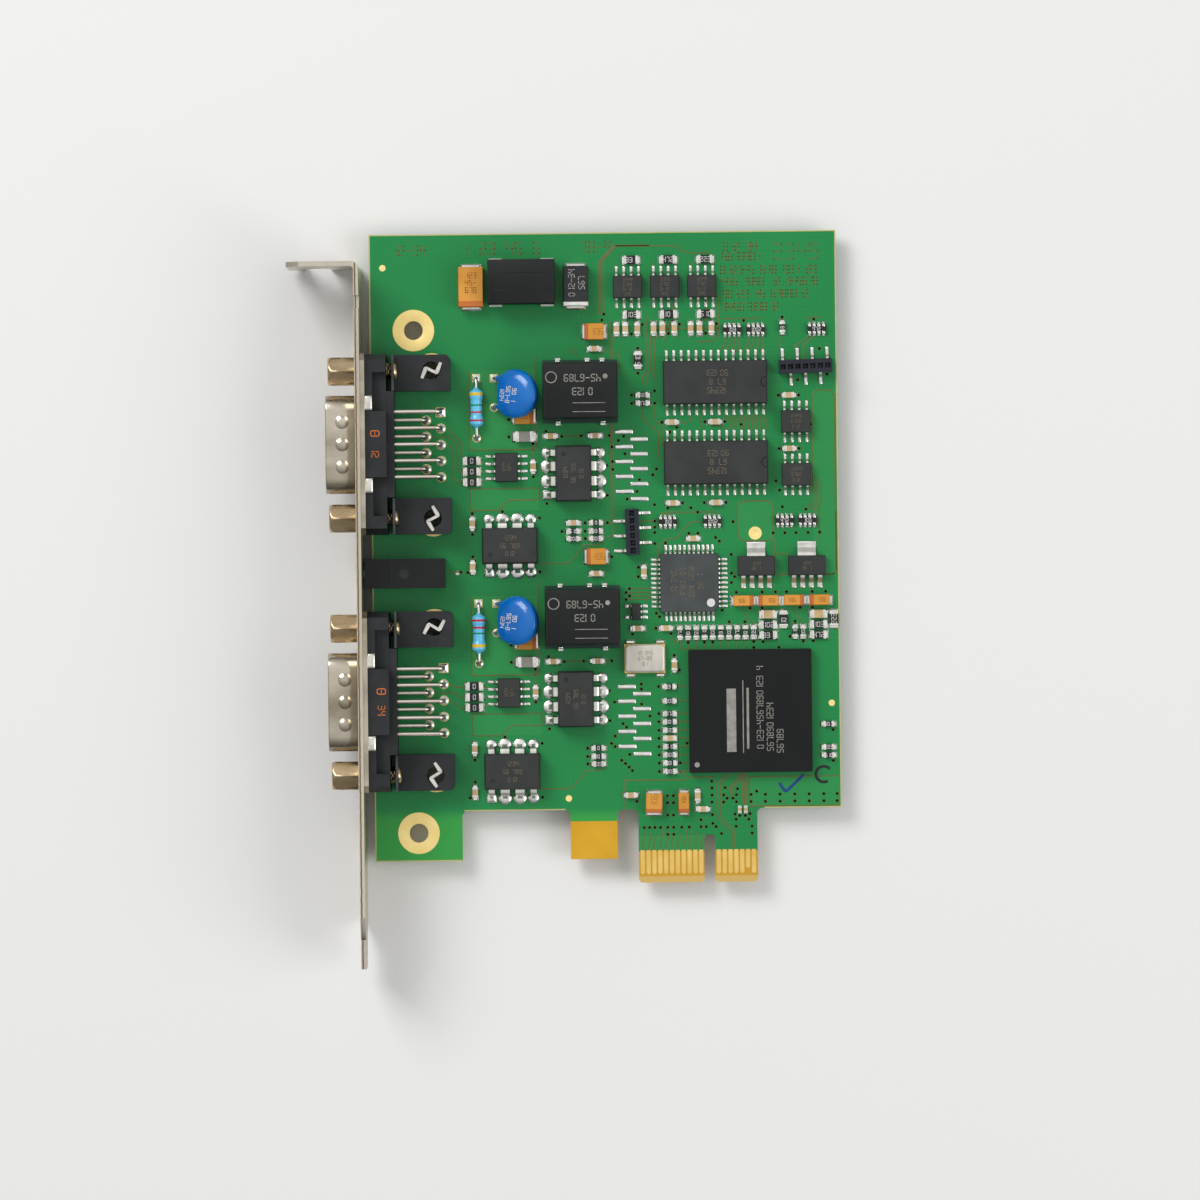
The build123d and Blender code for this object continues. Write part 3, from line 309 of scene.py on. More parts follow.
def add_node(tree, kind, settings=None, **inputs):
    """A node whose inputs are set by name, or by number as i0, i1 and so on. A socket is linked, and
    anything else becomes the input's own value."""
    node = tree.nodes.new(kind)
    for key, value in (settings or {}).items():
        setattr(node, key, value)
    for key, value in inputs.items():
        numbered = key[0] == "i" and key[1:].isdigit()
        socket = node.inputs[int(key[1:]) if numbered else key.replace("_", " ")]
        if isinstance(value, bpy.types.NodeSocket):
            tree.links.new(value, socket)
        else:
            socket.default_value = value
    return node


def arithmetic(tree, operation, *values):
    """One step of arithmetic on numbers or sockets, and the socket of its result."""
    numbered = {f"i{k}": value for k, value in enumerate(values)}
    return add_node(tree, "ShaderNodeMath", {"operation": operation}, **numbered).outputs["Value"]


def new_group(name, inputs, outputs):
    """An empty node group with the given sockets, and its two end nodes."""
    group = bpy.data.node_groups.new(name, "ShaderNodeTree")
    for label, kind in inputs:
        group.interface.new_socket(label, in_out="INPUT", socket_type=kind)
    for label, kind in outputs:
        group.interface.new_socket(label, in_out="OUTPUT", socket_type=kind)
    return group, group.nodes.new("NodeGroupInput"), group.nodes.new("NodeGroupOutput")


drift_group, given, result = new_group(
    "colour drift",
    [("Vector", "NodeSocketVector"), ("Colour", "NodeSocketColor"), ("Other Colour", "NodeSocketColor"),
        ("Scale", "NodeSocketFloat")],
    [("Colour", "NodeSocketColor"), ("Mask", "NodeSocketFloat")],
)
noise = add_node(drift_group, "ShaderNodeTexNoise", Vector=given.outputs["Vector"],
    Scale=given.outputs["Scale"], Detail=3.0)
spread = add_node(drift_group, "ShaderNodeMapRange", Value=noise.outputs["Fac"], From_Min=0.3, From_Max=0.7)
mix = add_node(drift_group, "ShaderNodeMix", {"data_type": "RGBA"}, i0=spread.outputs["Result"],
    i6=given.outputs["Colour"], i7=given.outputs["Other Colour"])
drift_group.links.new(mix.outputs[2], result.inputs["Colour"])
drift_group.links.new(spread.outputs["Result"], result.inputs["Mask"])

grain_group, given, result = new_group(
    "fine grain",
    [("Vector", "NodeSocketVector"), ("Scale", "NodeSocketFloat"), ("Smooth", "NodeSocketFloat"),
        ("Rough", "NodeSocketFloat")],
    [("Height", "NodeSocketFloat"), ("Roughness", "NodeSocketFloat")],
)
fine = add_node(grain_group, "ShaderNodeTexNoise", Vector=given.outputs["Vector"],
    Scale=given.outputs["Scale"], Detail=4.0, Roughness=0.6)
wide = add_node(grain_group, "ShaderNodeTexNoise", Vector=given.outputs["Vector"], Scale=180.0, Detail=2.0)
blend = arithmetic(grain_group, "ADD", fine.outputs["Fac"], wide.outputs["Fac"])
ends = {"To_Min": given.outputs["Smooth"], "To_Max": given.outputs["Rough"]}
level = add_node(grain_group, "ShaderNodeMapRange", Value=blend, From_Min=0.7, From_Max=1.3, **ends)
grain_group.links.new(fine.outputs["Fac"], result.inputs["Height"])
grain_group.links.new(level.outputs["Result"], result.inputs["Roughness"])
print("shared effects:", [group.name for group in bpy.data.node_groups])

# %% [markdown]
# One function puts the two groups and a shader together. Numbers are chosen against the
# photo: grain and drift count waves per metre, so 2500 is a grain of under half a millimetre.


# %% A finish and a colour over it
def finish(name, colour, other, rough=(0.3, 0.5), metallic=0.0, grain=2500.0, bump=0.1, drift=150.0,
        stretch=(1, 1, 1), coat=0.0, specular=0.35):
    """A material with drifting colour and fine grain. It remembers the name of its coordinate node, so that
    a finish with more to show can go on from there."""
    material = bpy.data.materials.new(name)
    material.use_nodes = True
    tree = material.node_tree
    shader = tree.nodes["Principled BSDF"]
    place = add_node(tree, "ShaderNodeTexCoord")
    mapping = add_node(tree, "ShaderNodeMapping", Vector=place.outputs["Object"], Scale=stretch)
    tone = add_node(tree, "ShaderNodeGroup", {"node_tree": drift_group},
        Vector=mapping.outputs["Vector"], Colour=srgb(*colour), Other_Colour=srgb(*other), Scale=drift)
    texture = add_node(tree, "ShaderNodeGroup", {"node_tree": grain_group},
        Vector=mapping.outputs["Vector"], Scale=grain, Smooth=rough[0], Rough=rough[1])
    relief = add_node(tree, "ShaderNodeBump", Height=texture.outputs["Height"], Strength=bump,
        Distance=0.00005)
    tree.links.new(tone.outputs["Colour"], shader.inputs["Base Color"])
    tree.links.new(texture.outputs["Roughness"], shader.inputs["Roughness"])
    tree.links.new(relief.outputs["Normal"], shader.inputs["Normal"])
    shader.inputs["Metallic"].default_value = metallic
    shader.inputs["Specular IOR Level"].default_value = specular
    if coat:
        shader.inputs["Coat Weight"].default_value = coat
        shader.inputs["Coat Roughness"].default_value = 0.12
    material["place"] = place.name
    return material


def recolour(material, mask, colour):
    """Puts a colour over a material's present one where the mask is 1."""
    tree = material.node_tree
    shader = tree.nodes["Principled BSDF"]
    present = shader.inputs["Base Color"].links[0].from_socket
    over = add_node(tree, "ShaderNodeMix", {"data_type": "RGBA"}, i0=mask, i6=present, i7=srgb(*colour))
    tree.links.new(over.outputs[2], shader.inputs["Base Color"])


def coordinates_of(material):
    """A material's tree, its coordinate node and the parts of its place and its normal."""
    tree = material.node_tree
    place = tree.nodes[material["place"]]
    where = add_node(tree, "ShaderNodeSeparateXYZ", Vector=place.outputs["Object"])
    facing = add_node(tree, "ShaderNodeSeparateXYZ", Vector=place.outputs["Normal"])
    return tree, place, where, facing


# %% [markdown]
# ## Metals, plastics and ceramics
# Plated metals differ mostly in tint and in how their roughness runs: the bracket has long faint
# rolling marks, solder is bright and lumpy, gold is soft. Moulded plastics are nearly black with
# a fine matt grain, and chip packages are a shade greyer than connectors. Each line names the
# finish, its two colours, the range of its roughness, how metallic it is, its grain, how deep the
# grain is and how fast the colour drifts. A last triple stretches the pattern.

# %% Metals
solder = finish("bright solder", (236, 236, 231), (206, 207, 202), (0.2, 0.36), 1.0, 900, 0.07, 900)
tinned = finish("tinned lead", (226, 225, 218), (196, 195, 188), (0.24, 0.4), 1.0, 2500, 0.12, 700)
plated_gold = finish("plated gold", (240, 206, 122), (226, 186, 92), (0.28, 0.42), 0.75, 3000, 0.1, 300)
latch_gold = finish("bare copper edge gold", (220, 170, 42), (206, 154, 34), (0.36, 0.5), 0.4, 1800,
    0.15, 130)
ring_gold = finish("ring gold", (255, 232, 156), (248, 218, 136), (0.34, 0.48), 0.4, 3000, 0.1, 300)
bracket_steel = finish("plated bracket steel", (214, 208, 194), (184, 176, 160), (0.2, 0.38), 1.0, 900,
    0.12, 120, (1, 0.06, 1))
shell_steel = finish("tinned shell", (204, 195, 178), (148, 138, 120), (0.12, 0.3), 1.0, 1500, 0.4, 170,
    (0.5, 1, 1))
screw_nickel = finish("yellowish nickel", (212, 190, 154), (178, 152, 114), (0.2, 0.36), 1.0, 1500, 0.15,
    220, (0.3, 1, 1))
contact_wire = finish("tinned contact wire", (240, 235, 224), (214, 204, 188), (0.14, 0.28), 1.0, 1400,
    0.1, 260, (0.3, 1, 1))
nut_zinc = finish("zinc plate", (84, 86, 88), (62, 64, 66), (0.35, 0.5), 0.8, 1800, 0.15, 300)

# %% Plastics, packages and ceramics
connector_black = finish("connector plastic", (40, 43, 45), (28, 31, 32), (0.4, 0.6), 0.0, 2200, 0.55,
    300, specular=0.3)
package_black = finish("chip package", (56, 57, 57), (46, 47, 47), (0.5, 0.68), 0.0, 5200, 0.3, 240,
    specular=0.25)
bridge_black = finish("large chip package", (20, 22, 23), (14, 16, 17), (0.38, 0.5), 0.0, 5200, 0.18,
    120, specular=0.2)
converter_black = finish("converter case", (24, 26, 26), (16, 18, 18), (0.4, 0.55), 0.0, 3200, 0.22, 150,
    specular=0.25)
converter_laminate = finish("converter laminate", (26, 62, 48), (20, 50, 40), (0.35, 0.5), 0.0, 2500,
    0.15, 250)
light_black = finish("light holder plastic", (24, 26, 26), (15, 17, 17), (0.2, 0.4), 0.0, 1400, 0.35,
    160, specular=0.25)
header_black = finish("header plastic", (40, 44, 54), (30, 33, 42), (0.35, 0.5), 0.0, 2600, 0.2, 200,
    specular=0.25)
coated_blue = finish("dipped blue coat", (6, 114, 200), (1, 96, 182), (0.12, 0.22), 0.0, 420, 0.3, 260,
    coat=0.35)
tantalum = finish("moulded tantalum body", (222, 156, 66), (204, 138, 52), (0.4, 0.55), 0.0, 3200, 0.2, 200)
tantalum_band = finish("printed band", (196, 112, 46), (176, 96, 38), (0.4, 0.55), 0.0, 3200, 0.15, 200)
ceramic = finish("capacitor ceramic", (208, 178, 136), (182, 152, 110), (0.3, 0.45), 0.0, 3000, 0.15, 600)
grey_ceramic = finish("grey ceramic", (140, 140, 130), (118, 118, 110), (0.3, 0.45), 0.0, 3000, 0.15, 600)
resistor_glaze = finish("resistor glaze", (28, 28, 29), (20, 20, 21), (0.2, 0.35), 0.0, 2400, 0.1, 500)
lid_metal = finish("brushed lid", (218, 214, 202), (196, 192, 180), (0.3, 0.46), 0.6, 1200, 0.3, 700,
    (1, 0.3, 1))
lens_green = finish("green lens", (60, 170, 84), (48, 150, 72), (0.08, 0.14), 0.0, 800, 0.05, 200, coat=0.5)
logic_grey = finish("logic chip package", (76, 81, 82), (64, 68, 69), (0.5, 0.68), 0.0, 5200, 0.3, 240,
    specular=0.25)

# %% Copper under the mask, inks and marks
track = finish("copper under mask", (104, 98, 44), (76, 104, 50), (0.3, 0.42), 0.0, 2000, 0.05, 120)
etched = finish("etched copper mark", (108, 98, 46), (88, 102, 50), (0.3, 0.42), 0.0, 2000, 0.05, 300)
via_rim = finish("masked via rim", (84, 92, 42), (62, 96, 46), (0.3, 0.4), 0.0, 2000, 0.05, 300)
# Painted shade: near black for the dots that stand in for the shadow inside the via holes.
hole_shade_finish = finish("painted hole shade", (12, 9, 6), (6, 5, 4), (0.7, 0.8), 0.0, 2000, 0.05, 300, specular=0.02)
pale_print = finish("pale print", (160, 158, 150), (128, 127, 120), (0.5, 0.65), 0.0, 4200, 0.1, 900)
white_print = finish("white print", (230, 230, 226), (206, 206, 202), (0.45, 0.6), 0.0, 4200, 0.1, 900)
orange_print = finish("orange print", (210, 112, 46), (186, 94, 38), (0.45, 0.6), 0.0, 4200, 0.1, 900)
laser_mark = finish("laser mark", (122, 113, 92), (96, 90, 76), (0.5, 0.65), 0.0, 4200, 0.1, 900)
amber_mark = finish("mark on amber", (172, 118, 48), (156, 104, 40), (0.5, 0.65), 0.0, 4200, 0.1, 900)
lid_mark = finish("mark on the lid", (158, 152, 138), (138, 132, 120), (0.5, 0.65), 0.0, 4200, 0.1, 900)
print("finishes:", len(bpy.data.materials))

# %% [markdown]
# ## The board's own finish
# A circuit board is one sheet with several looks: green mask on both faces, pale raw laminate on
# its cut edges, amber laminate without mask between the gold contacts, and a lighter green where
# no copper lies beneath. All of them are regions in the board's own coordinates, so one material
# can hold them. Each region is a product of soft steps, and each step compares x, y or the
# normal's z with a limit.


# %% Masks from coordinates
def above(tree, value, limit, softness=0.00006):
    """1 where the value is past the limit and 0 before it."""
    step = add_node(tree, "ShaderNodeMapRange", {"interpolation_type": "SMOOTHSTEP"}, Value=value,
        From_Min=limit - softness, From_Max=limit + softness)
    return step.outputs["Result"]


def both(tree, a, b):
    """1 where both masks are 1: their product."""
    return arithmetic(tree, "MULTIPLY", a, b)


def invert(tree, a):
    """1 less the mask."""
    return arithmetic(tree, "SUBTRACT", 1.0, a)


def inside(tree, x, y, left, right, low, high, softness=0.00006):
    """1 inside a rectangle given in millimetres and 0 outside it."""
    from_left, from_low = above(tree, x, left * MM, softness), above(tree, y, low * MM, softness)
    past_right, past_high = above(tree, x, right * MM, softness), above(tree, y, high * MM, softness)
    wide = both(tree, from_left, invert(tree, past_right))
    return both(tree, wide, both(tree, from_low, invert(tree, past_high)))


# %% [markdown]
# Two crossed waves draw the faint weave of the glass cloth. The listed rectangles, as (left, right,
# low, high), are fields that a track frames, and below the shoulder of the board the last bit of
# copper ends, so the green is brightest there.

# %% The board's regions
board_green = finish("green board", (18, 124, 62), (26, 134, 70), (0.26, 0.38), 0.0, 1500, 0.06, 26,
    specular=0.3)
tree, place, where, facing = coordinates_of(board_green)
x, y = where.outputs["X"], where.outputs["Y"]
waves = []
for direction in "XY":
    wave = {"Vector": place.outputs["Object"], "Scale": 420.0, "Distortion": 1.5, "Detail": 1.0}
    waves.append(add_node(tree, "ShaderNodeTexWave", {"bands_direction": direction}, **wave).outputs["Fac"])
recolour(board_green, arithmetic(tree, "MULTIPLY", both(tree, *waves), 0.16), (52, 150, 84))
open_areas = [
    (-40.25, -28.5, 63.9, 67.6), (-40.25, -28.5, 25.4, 29.1), (-40.3, -28.9, 74.2, 87.8),
    (-40.3, -28.9, 35.7, 49.3), (5.4, 11.4, 58.2, 65.0), (18.3, 22.1, 52.3, 83.8), (6.9, 22.3, 12.9, 17.9),
    (-12.2, 0.6, 5.6, 8.0),
]
for left, right, low, high in open_areas:
    patch = both(tree, inside(tree, x, y, left, right, low, high, 0.00012), 0.3)
    recolour(board_green, patch, (58, 152, 78))
below_shoulder = inside(tree, x, y, -60.0, -13.8, 2.0, 12.0, 0.0012)
recolour(board_green, both(tree, below_shoulder, 0.75), (57, 162, 66))
in_tab = both(tree, above(tree, x, -12.4 * MM), invert(tree, above(tree, x, 8.4 * MM)))
bare_tab = both(tree, in_tab, invert(tree, above(tree, y, 5.33 * MM)))
bevel = both(tree, in_tab, invert(tree, above(tree, y, 1.08 * MM)))
recolour(board_green, bare_tab, (200, 150, 44))
recolour(board_green, bevel, (214, 180, 104))
flat_face = arithmetic(tree, "ABSOLUTE", facing.outputs["Z"])
recolour(board_green, invert(tree, above(tree, flat_face, 0.5, 0.2)), (206, 204, 156))
print("board finish:", len(tree.nodes), "nodes")

# %% [markdown]
# ## Two finishes that need one more colour
# The bracket is sheared from sheet, so its long edge shows a brown line where the plating was cut
# through: a band in x, with noise added to x to make it ragged, on faces that look up. The bent
# contact wires get a painted reflection: a darker colour towards their sides, where they mirror the
# black housing. A layer weight knows how far a face is turned away from the eye.

# %% Sheared edge and a painted reflection on the wires
tree, place, where, facing = coordinates_of(bracket_steel)
ragged = add_node(tree, "ShaderNodeTexNoise", Vector=place.outputs["Object"], Scale=900.0, Detail=2.0)
across = arithmetic(tree, "MULTIPLY_ADD", ragged.outputs["Fac"], 0.0002, where.outputs["X"])
band = both(tree, above(tree, across, -59.2 * MM, 0.00004),
    invert(tree, above(tree, across, -58.95 * MM, 0.00004)))
upward = arithmetic(tree, "ABSOLUTE", facing.outputs["Z"])
recolour(bracket_steel, both(tree, band, above(tree, upward, 0.7, 0.1)), (128, 104, 72))
# Painted reflection: the wires' sides are coloured darker, for the black housing that they mirror.
tree = contact_wire.node_tree
edge = add_node(tree, "ShaderNodeLayerWeight", Blend=0.5)
recolour(contact_wire, above(tree, edge.outputs["Facing"], 0.52, 0.28), (110, 84, 62))
print("nodes in the two finishes:", len(bracket_steel.node_tree.nodes), len(tree.nodes))

# %% [markdown]
# ## Dressing the frame's nodes
# The board, the bracket, the connector housings and a few plain bodies keep their solid shapes,
# so they only need a better finish. A finish goes into the node's material slots, because the
# mesh itself stays as it is.

# %% Finishes for nodes that stay
kept_finishes = {
    "circuit_board": board_green,
    "edge_contacts": plated_gold,
    "latch_tab_plating": latch_gold,
    "slot_bracket": bracket_steel,
    "upper_shell": shell_steel,
    "lower_shell": shell_steel,
    "upper_housing": connector_black,
    "lower_housing": connector_black,
    "upper_feet": connector_black,
    "lower_feet": connector_black,
    "nut_plates": nut_zinc,
    "light_housing": light_black,
    "light_leads": tinned,
    "converter_bases": converter_laminate,
    "converter_feet": solder,
    "bridge_chip": bridge_black,
    "oscillator_base": plated_gold,
    "socket_headers": header_black,
    "capacitor_terminals": tinned,
    "input_filter_terminals": tinned,
    "resistor_networks": resistor_glaze,
}
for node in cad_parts.values():
    node.data.materials.clear()
    node.data.materials.append(kept_finishes.get(node.name, package_black))
print("nodes with their own finish:", len(kept_finishes))

# %% [markdown]
# ## Chip parts: blocks, tinned ends and solder
# Resistors and capacitors without leads are blocks whose two ends are dipped in tin and stand in
# a small slope of solder. In the CAD model one block covers the part together with its solder, so
# here a shorter block takes its place and the slopes fill the rest. A cap is a stacked outline a
# hair larger than the block, and a slope is a stack that shrinks as it rises.


# %% Blocks and ends of the chip parts
def chip_parts(node, solids, cap_length, slope, body, metal, mound):
    """Blocks shorter than the CAD's by a slope at each end, two caps half a cap inside the ends, and slopes
    that start under the caps and end just past the CAD's blocks."""
    middle, half = boxes_in(node, solids)
    long_x = half[:, 0] > half[:, 1]
    along = np.where(long_x[:, None], [[1.0, 0.0]], [[0.0, 1.0]])
    long_half = np.where(long_x, half[:, 0], half[:, 1]) - slope
    short_half = np.where(long_x, half[:, 1], half[:, 0])
    turn = np.where(long_x, 0.0, 90.0)
    top = 2 * half[:, 2]
    zero = np.zeros(len(middle))

    def levels(rise):
        """Each block's own levels: a growth, and a height plus a share of the block's top."""
        pairs = [np.stack([zero + growth, z + top * share], 1) for growth, z, share in rise]
        return np.stack(pairs, axis=1)

    block = levels([(0, 0.03, 0), (0, -0.03, 1), (-0.03, 0, 1)])
    cap = levels([(0.0, 0.02, 0), (0.0, -0.04, 1), (-0.012, 0.01, 1), (-0.05, 0.025, 1)])
    mound_rise = [(0.0, -0.01), (0.0, 0.03), (-0.08, 0.1), (-0.16, 0.2), (-0.24, 0.36)]
    hill = levels([(growth * slope / 0.45, z, 0) for growth, z in mound_rise])
    body.add(stacked(middle[:, :2], np.stack([long_half, short_half], axis=1), block, 0.03, turn))
    for side in (1, -1):
        spot = middle[:, :2] + side * along * (long_half - cap_length / 2 + 0.03)[:, None]
        metal.add(stacked(spot, np.stack([zero + cap_length / 2, short_half + 0.02], axis=1), cap, 0.05,
            turn))
        foot = middle[:, :2] + side * along * (long_half + 0.14)[:, None]
        mound.add(stacked(foot, np.stack([zero + slope, short_half + 0.07], axis=1), hill, 0.12, turn))


black, tan, grey, caps, mounds = Batch(), Batch(), Batch(), Batch(), Batch()
chip_parts("chip_resistors", 54, 0.42, 0.42, black, caps, mounds)
chip_parts("chip_capacitors", 39, 0.45, 0.42, tan, caps, mounds)
chip_parts("large_chip_capacitors", 2, 0.62, 0.5, grey, caps, mounds)
chip_parts("tiny_chip_capacitors", 2, 0.2, 0.16, tan, caps, mounds)
make_piece("chip_resistor_blocks", black, resistor_glaze, ("chip_resistors",))
make_piece("ceramic_blocks", tan, ceramic, ("chip_capacitors", "tiny_chip_capacitors"))
make_piece("large_ceramic_blocks", grey, grey_ceramic, ("large_chip_capacitors",))
make_piece("chip_part_ends", caps, tinned)
make_piece("chip_part_solder", mounds, solder)

# %% [markdown]
# ## Networks with four ends a side
# A resistor network is one black chip with four small tinned ends on each long side. Each end is
# the same small stack, repeated at a 0.8 mm step.

# %% Resistor network ends
middle = boxes_in("resistor_networks", 7)[0]
steps = (np.arange(4) - 1.5) * 0.8
ends = Batch()
for side in (1, -1):
    spots = middle[:, None, :2] + np.stack([steps, np.full(4, side * 0.62)], axis=1)[None]
    ends.add(stacked(spots.reshape(-1, 2), (0.23, 0.22), [(0, 0.02), (0, 0.6), (-0.05, 0.63)], 0.06))
    spots = spots + np.array([0, side * 0.38])
    slope = [(0, -0.01), (0, 0.03), (-0.08, 0.1), (-0.16, 0.26)]
    ends.add(stacked(spots.reshape(-1, 2), (0.24, 0.3), slope, 0.1))
make_piece("network_ends", ends, solder)

# %% [markdown]
# ## Bent leads
# A real lead leaves the package level, bends down in a smooth curve and lies flat on its pad. The
# frame has it as a straight slanted strip, so each strip is replaced by a section carried along
# the bent path, from the same root to the same tip. The solder under the foot is a small mound.


# %% Leads of the packages
def gull_path(reach, height, thick, shoulder, foot, bend):
    """Level shoulder, slope, level foot, with both corners rounded, as (reach, height)."""
    upper, lower = height - thick / 2, thick / 2 + 0.02
    return rounded_path([(-0.25, upper), (shoulder, upper), (reach - foot, lower), (reach, lower)], bend)


def bend_leads(node, solids, thick=0.18, shoulder=0.3, foot=0.5, bend=0.25, pad=0.08, narrow=1.0,
        toe=0.34, about=None):
    """Replaces a node's strips by bent leads and returns a batch with a solder mound under each foot. Leads
    within 6 mm of the middle given as about make half a turn round it: a point p goes to twice the middle
    less p. Past the shoulder a lead can get narrower, by the given factor."""
    lead = leads_in(node, solids)
    root = lead["root"].copy()
    root[:, 2] = 0
    if about is not None:
        near = np.linalg.norm(root[:, :2] - about, axis=1) < 6
        root[near, :2] = 2 * np.array(about) - root[near, :2]
        lead["tip"][near] = 2 * np.array(about) - lead["tip"][near]
        lead["direction"][near] *= -1
    made, mound = Batch(), Batch()
    for width in np.unique(np.round(lead["width"], 3)):
        chosen = np.abs(lead["width"] - width) < 0.01
        path = gull_path(lead["reach"][chosen][0], lead["height"], thick, shoulder, foot, bend)
        widths = np.where(path[:, 0] > shoulder + 0.1, width * narrow, width)
        section = np.array([flat_section(w, thick) for w in widths])
        made.add(carried(section, path, root[chosen], lead["direction"][chosen]))
        turn = np.degrees(np.arctan2(lead["direction"][chosen, 1], lead["direction"][chosen, 0]))
        spot = lead["tip"][chosen] + lead["direction"][chosen] * (0.16 - foot / 2)
        size = (foot / 2 + toe, width * narrow / 2 + pad)
        mound.add(stacked(spot, size, [(0, -0.01), (0, 0.04), (-0.05, 0.12), (-0.14, 0.19)], 0.12, turn, 3))
    make_piece(node + "_bent", made, tinned, (node,))
    return mound


lead_solder = Batch()
for node, solids, shape in (
    ("driver_leads", 24, {"shoulder": 0.25, "foot": 0.55}),
    ("memory_leads", 16, {"shoulder": 0.25, "foot": 0.55}),
    ("transceiver_leads", 16, {"shoulder": 0.25, "foot": 0.55}),
    ("controller_leads", 56, {"shoulder": 0.3, "foot": 0.6, "bend": 0.3}),
    ("logic_chip_leads", 44, {"shoulder": 0.2, "foot": 0.5, "thick": 0.14}),
    ("header_leads", 13, {"shoulder": 0.2, "foot": 0.9, "thick": 0.25, "bend": 0.2,
        "about": (-12.65, 59.95)}),
    ("regulator_leads", 10, {"shoulder": 0.35, "foot": 0.75, "thick": 0.26, "bend": 0.3, "pad": 0.1,
        "toe": 0.12}),
    ("monitor_chip_leads", 5, {"shoulder": 0.12, "foot": 0.3, "thick": 0.12, "bend": 0.12, "pad": 0.12}),
):
    mound = bend_leads(node, solids, **shape)
    lead_solder.points += mound.points
    lead_solder.faces += [f + lead_solder.count for f in mound.faces]
    lead_solder.count += mound.count
make_piece("lead_solder", lead_solder, solder)

# %% [markdown]
# The four isolators have broad leads with a narrow tip, and each tip ends in a round blob of
# solder: a dome turned from a quarter circle. The blob of the first lead is square, which is how
# boards mark pin one.

# %% Leads of the isolators
bend_leads("isolator_leads", 32, thick=0.28, shoulder=0.75, foot=0.5, bend=0.4, narrow=0.55)
lead = leads_in("isolator_leads", 32)
blob_spot = lead["root"][:, :2] + lead["direction"] * 1.42
blob_radius = np.where(lead["width"] > 1.4, 1.18, 1.0)
blobs = Batch()
dome_r = np.array([1.0, 1.0, 0.94, 0.8, 0.56, 0.3, 0.05])
dome_z = np.array([-0.01, 0.04, 0.16, 0.27, 0.36, 0.41, 0.43])
first_leads = [4, 12, 16, 24]
for i in range(32):
    if i in first_leads:
        continue
    profile = np.stack([dome_r * blob_radius[i], dome_z], axis=1)
    blobs.add(turned(profile, (*blob_spot[i], 0), 20))
square_blob = [(0, -0.01), (0, 0.05), (-0.1, 0.25), (-0.35, 0.45), (-0.7, 0.52)]
blobs.add(stacked(blob_spot[first_leads], (0.95, 0.9), square_blob, 0.25, 0, 3))
make_piece("isolator_solder", blobs, solder)

# %% [markdown]
# ## Chip packages
# A moulded package is narrower at its foot, widest where the leads come out, and draws in again
# towards a flat top with a soft edge. One stack of outlines gives that whole profile.


# %% Package bodies
GAP_BELOW, DRAFT = 0.12, 0.16


def draw_package(batch, node, solids, seat, top=None):
    """Levels from the foot to the top: in, out at the parting line at seat, in again by the draft times the
    rise, and a rounded top edge. Without a given top, the body is as high as the frame's."""
    middle, half = boxes_in(node, solids)
    top = top or 2 * half[0, 2] + GAP_BELOW
    drawn_in = -DRAFT * (top - seat)
    foot = [(-0.14, GAP_BELOW), (0.0, seat - 0.06), (0.0, seat + 0.04)]
    cover = [(drawn_in, top - 0.08), (drawn_in - 0.03, top - 0.02), (drawn_in - 0.1, top)]
    batch.add(stacked(middle[:, :2], half[:, :2], foot + cover, 0.12))


bodies = Batch()
families = {
    "driver_bodies": (3, 0.95), "memory_bodies": (2, 0.95), "transceiver_bodies": (2, 0.95),
    "controller_bodies": (2, 1.35), "isolator_bodies": (4, 2.0),
}
for node, (solids, seat) in families.items():
    draw_package(bodies, node, solids, seat)
make_piece("package_bodies", bodies, package_black, tuple(families))

# %% [markdown]
# The square logic chip has one cut corner, so its outline is a list of eight points, and each level
# is that list times a factor. The regulators and the small monitor chip are plain packages again.

# %% The logic chip and the power packages
chip_middle = boxes_in("logic_chip", 1)[0][0]
cut = 0.9
outline = [(5, 4.9), (4.9, 5), (-4.9, 5), (-5, 4.9), (-5, -4.9), (-4.9, -5), (5 - cut, -5), (5, -5 + cut)]
logic_levels = np.array([(0.985, 0.12), (1.0, 0.8), (1.0, 0.9), (0.982, 1.44), (0.975, 1.5)])[:, None]
height = np.broadcast_to(logic_levels[..., 1:], (5, 8, 1))
rings = np.concatenate([np.array(outline) * logic_levels[..., :1], height], axis=-1)
logic = Batch().add(rings + np.array([*chip_middle[:2], 0]))
make_piece("logic_chip_body", logic, logic_grey, ("logic_chip",))
power_bodies = Batch()
draw_package(power_bodies, "regulator_bodies", 2, 1.0, 1.7)
draw_package(power_bodies, "monitor_chip", 1, 0.6, 1.1)
power_nodes = ("regulator_bodies", "monitor_chip")
make_piece("power_package_bodies", power_bodies, package_black, power_nodes)

# %% [markdown]
# A shallow round dimple marks the first lead of an isolator: a turned rim with a sunken floor. The
# controllers have a half round notch at their right end. Its groove's shadow is painted: a dark ring
# at the top face, whose points stop at the edge of the top face.

# %% Dimples and the painted shadow of each notch
dimple = [(0.42, 0.0), (0.42, 0.012), (0.36, 0.012), (0.3, 0.004), (0.02, 0.003)]
half_ring = [(0.9, -0.02), (0.9, 0.012), (0.74, 0.012), (0.74, -0.02)]
dimples = Batch()
small_spots = [(-36.9, 56.26, 3.7), (-36.9, 17.76, 3.7), (-24.24, 73.3, 3.7), (-24.24, 34.8, 3.7)]
dimples.add(turned(dimple, small_spots, 20))
make_piece("package_dimples", dimples, connector_black)
top_edge = 10.36
# Painted shadow: the dark ring stands in for the shade in the notch's groove.
notch = turned(half_ring, [(top_edge, 85.3, 2.65), (top_edge, 71.6, 2.65)], 28)
notch[..., 0] = np.minimum(notch[..., 0], top_edge)
notch_shadows = Batch().add(notch, ring=True)
make_piece("controller_notch_shadows", notch_shadows, bridge_black)

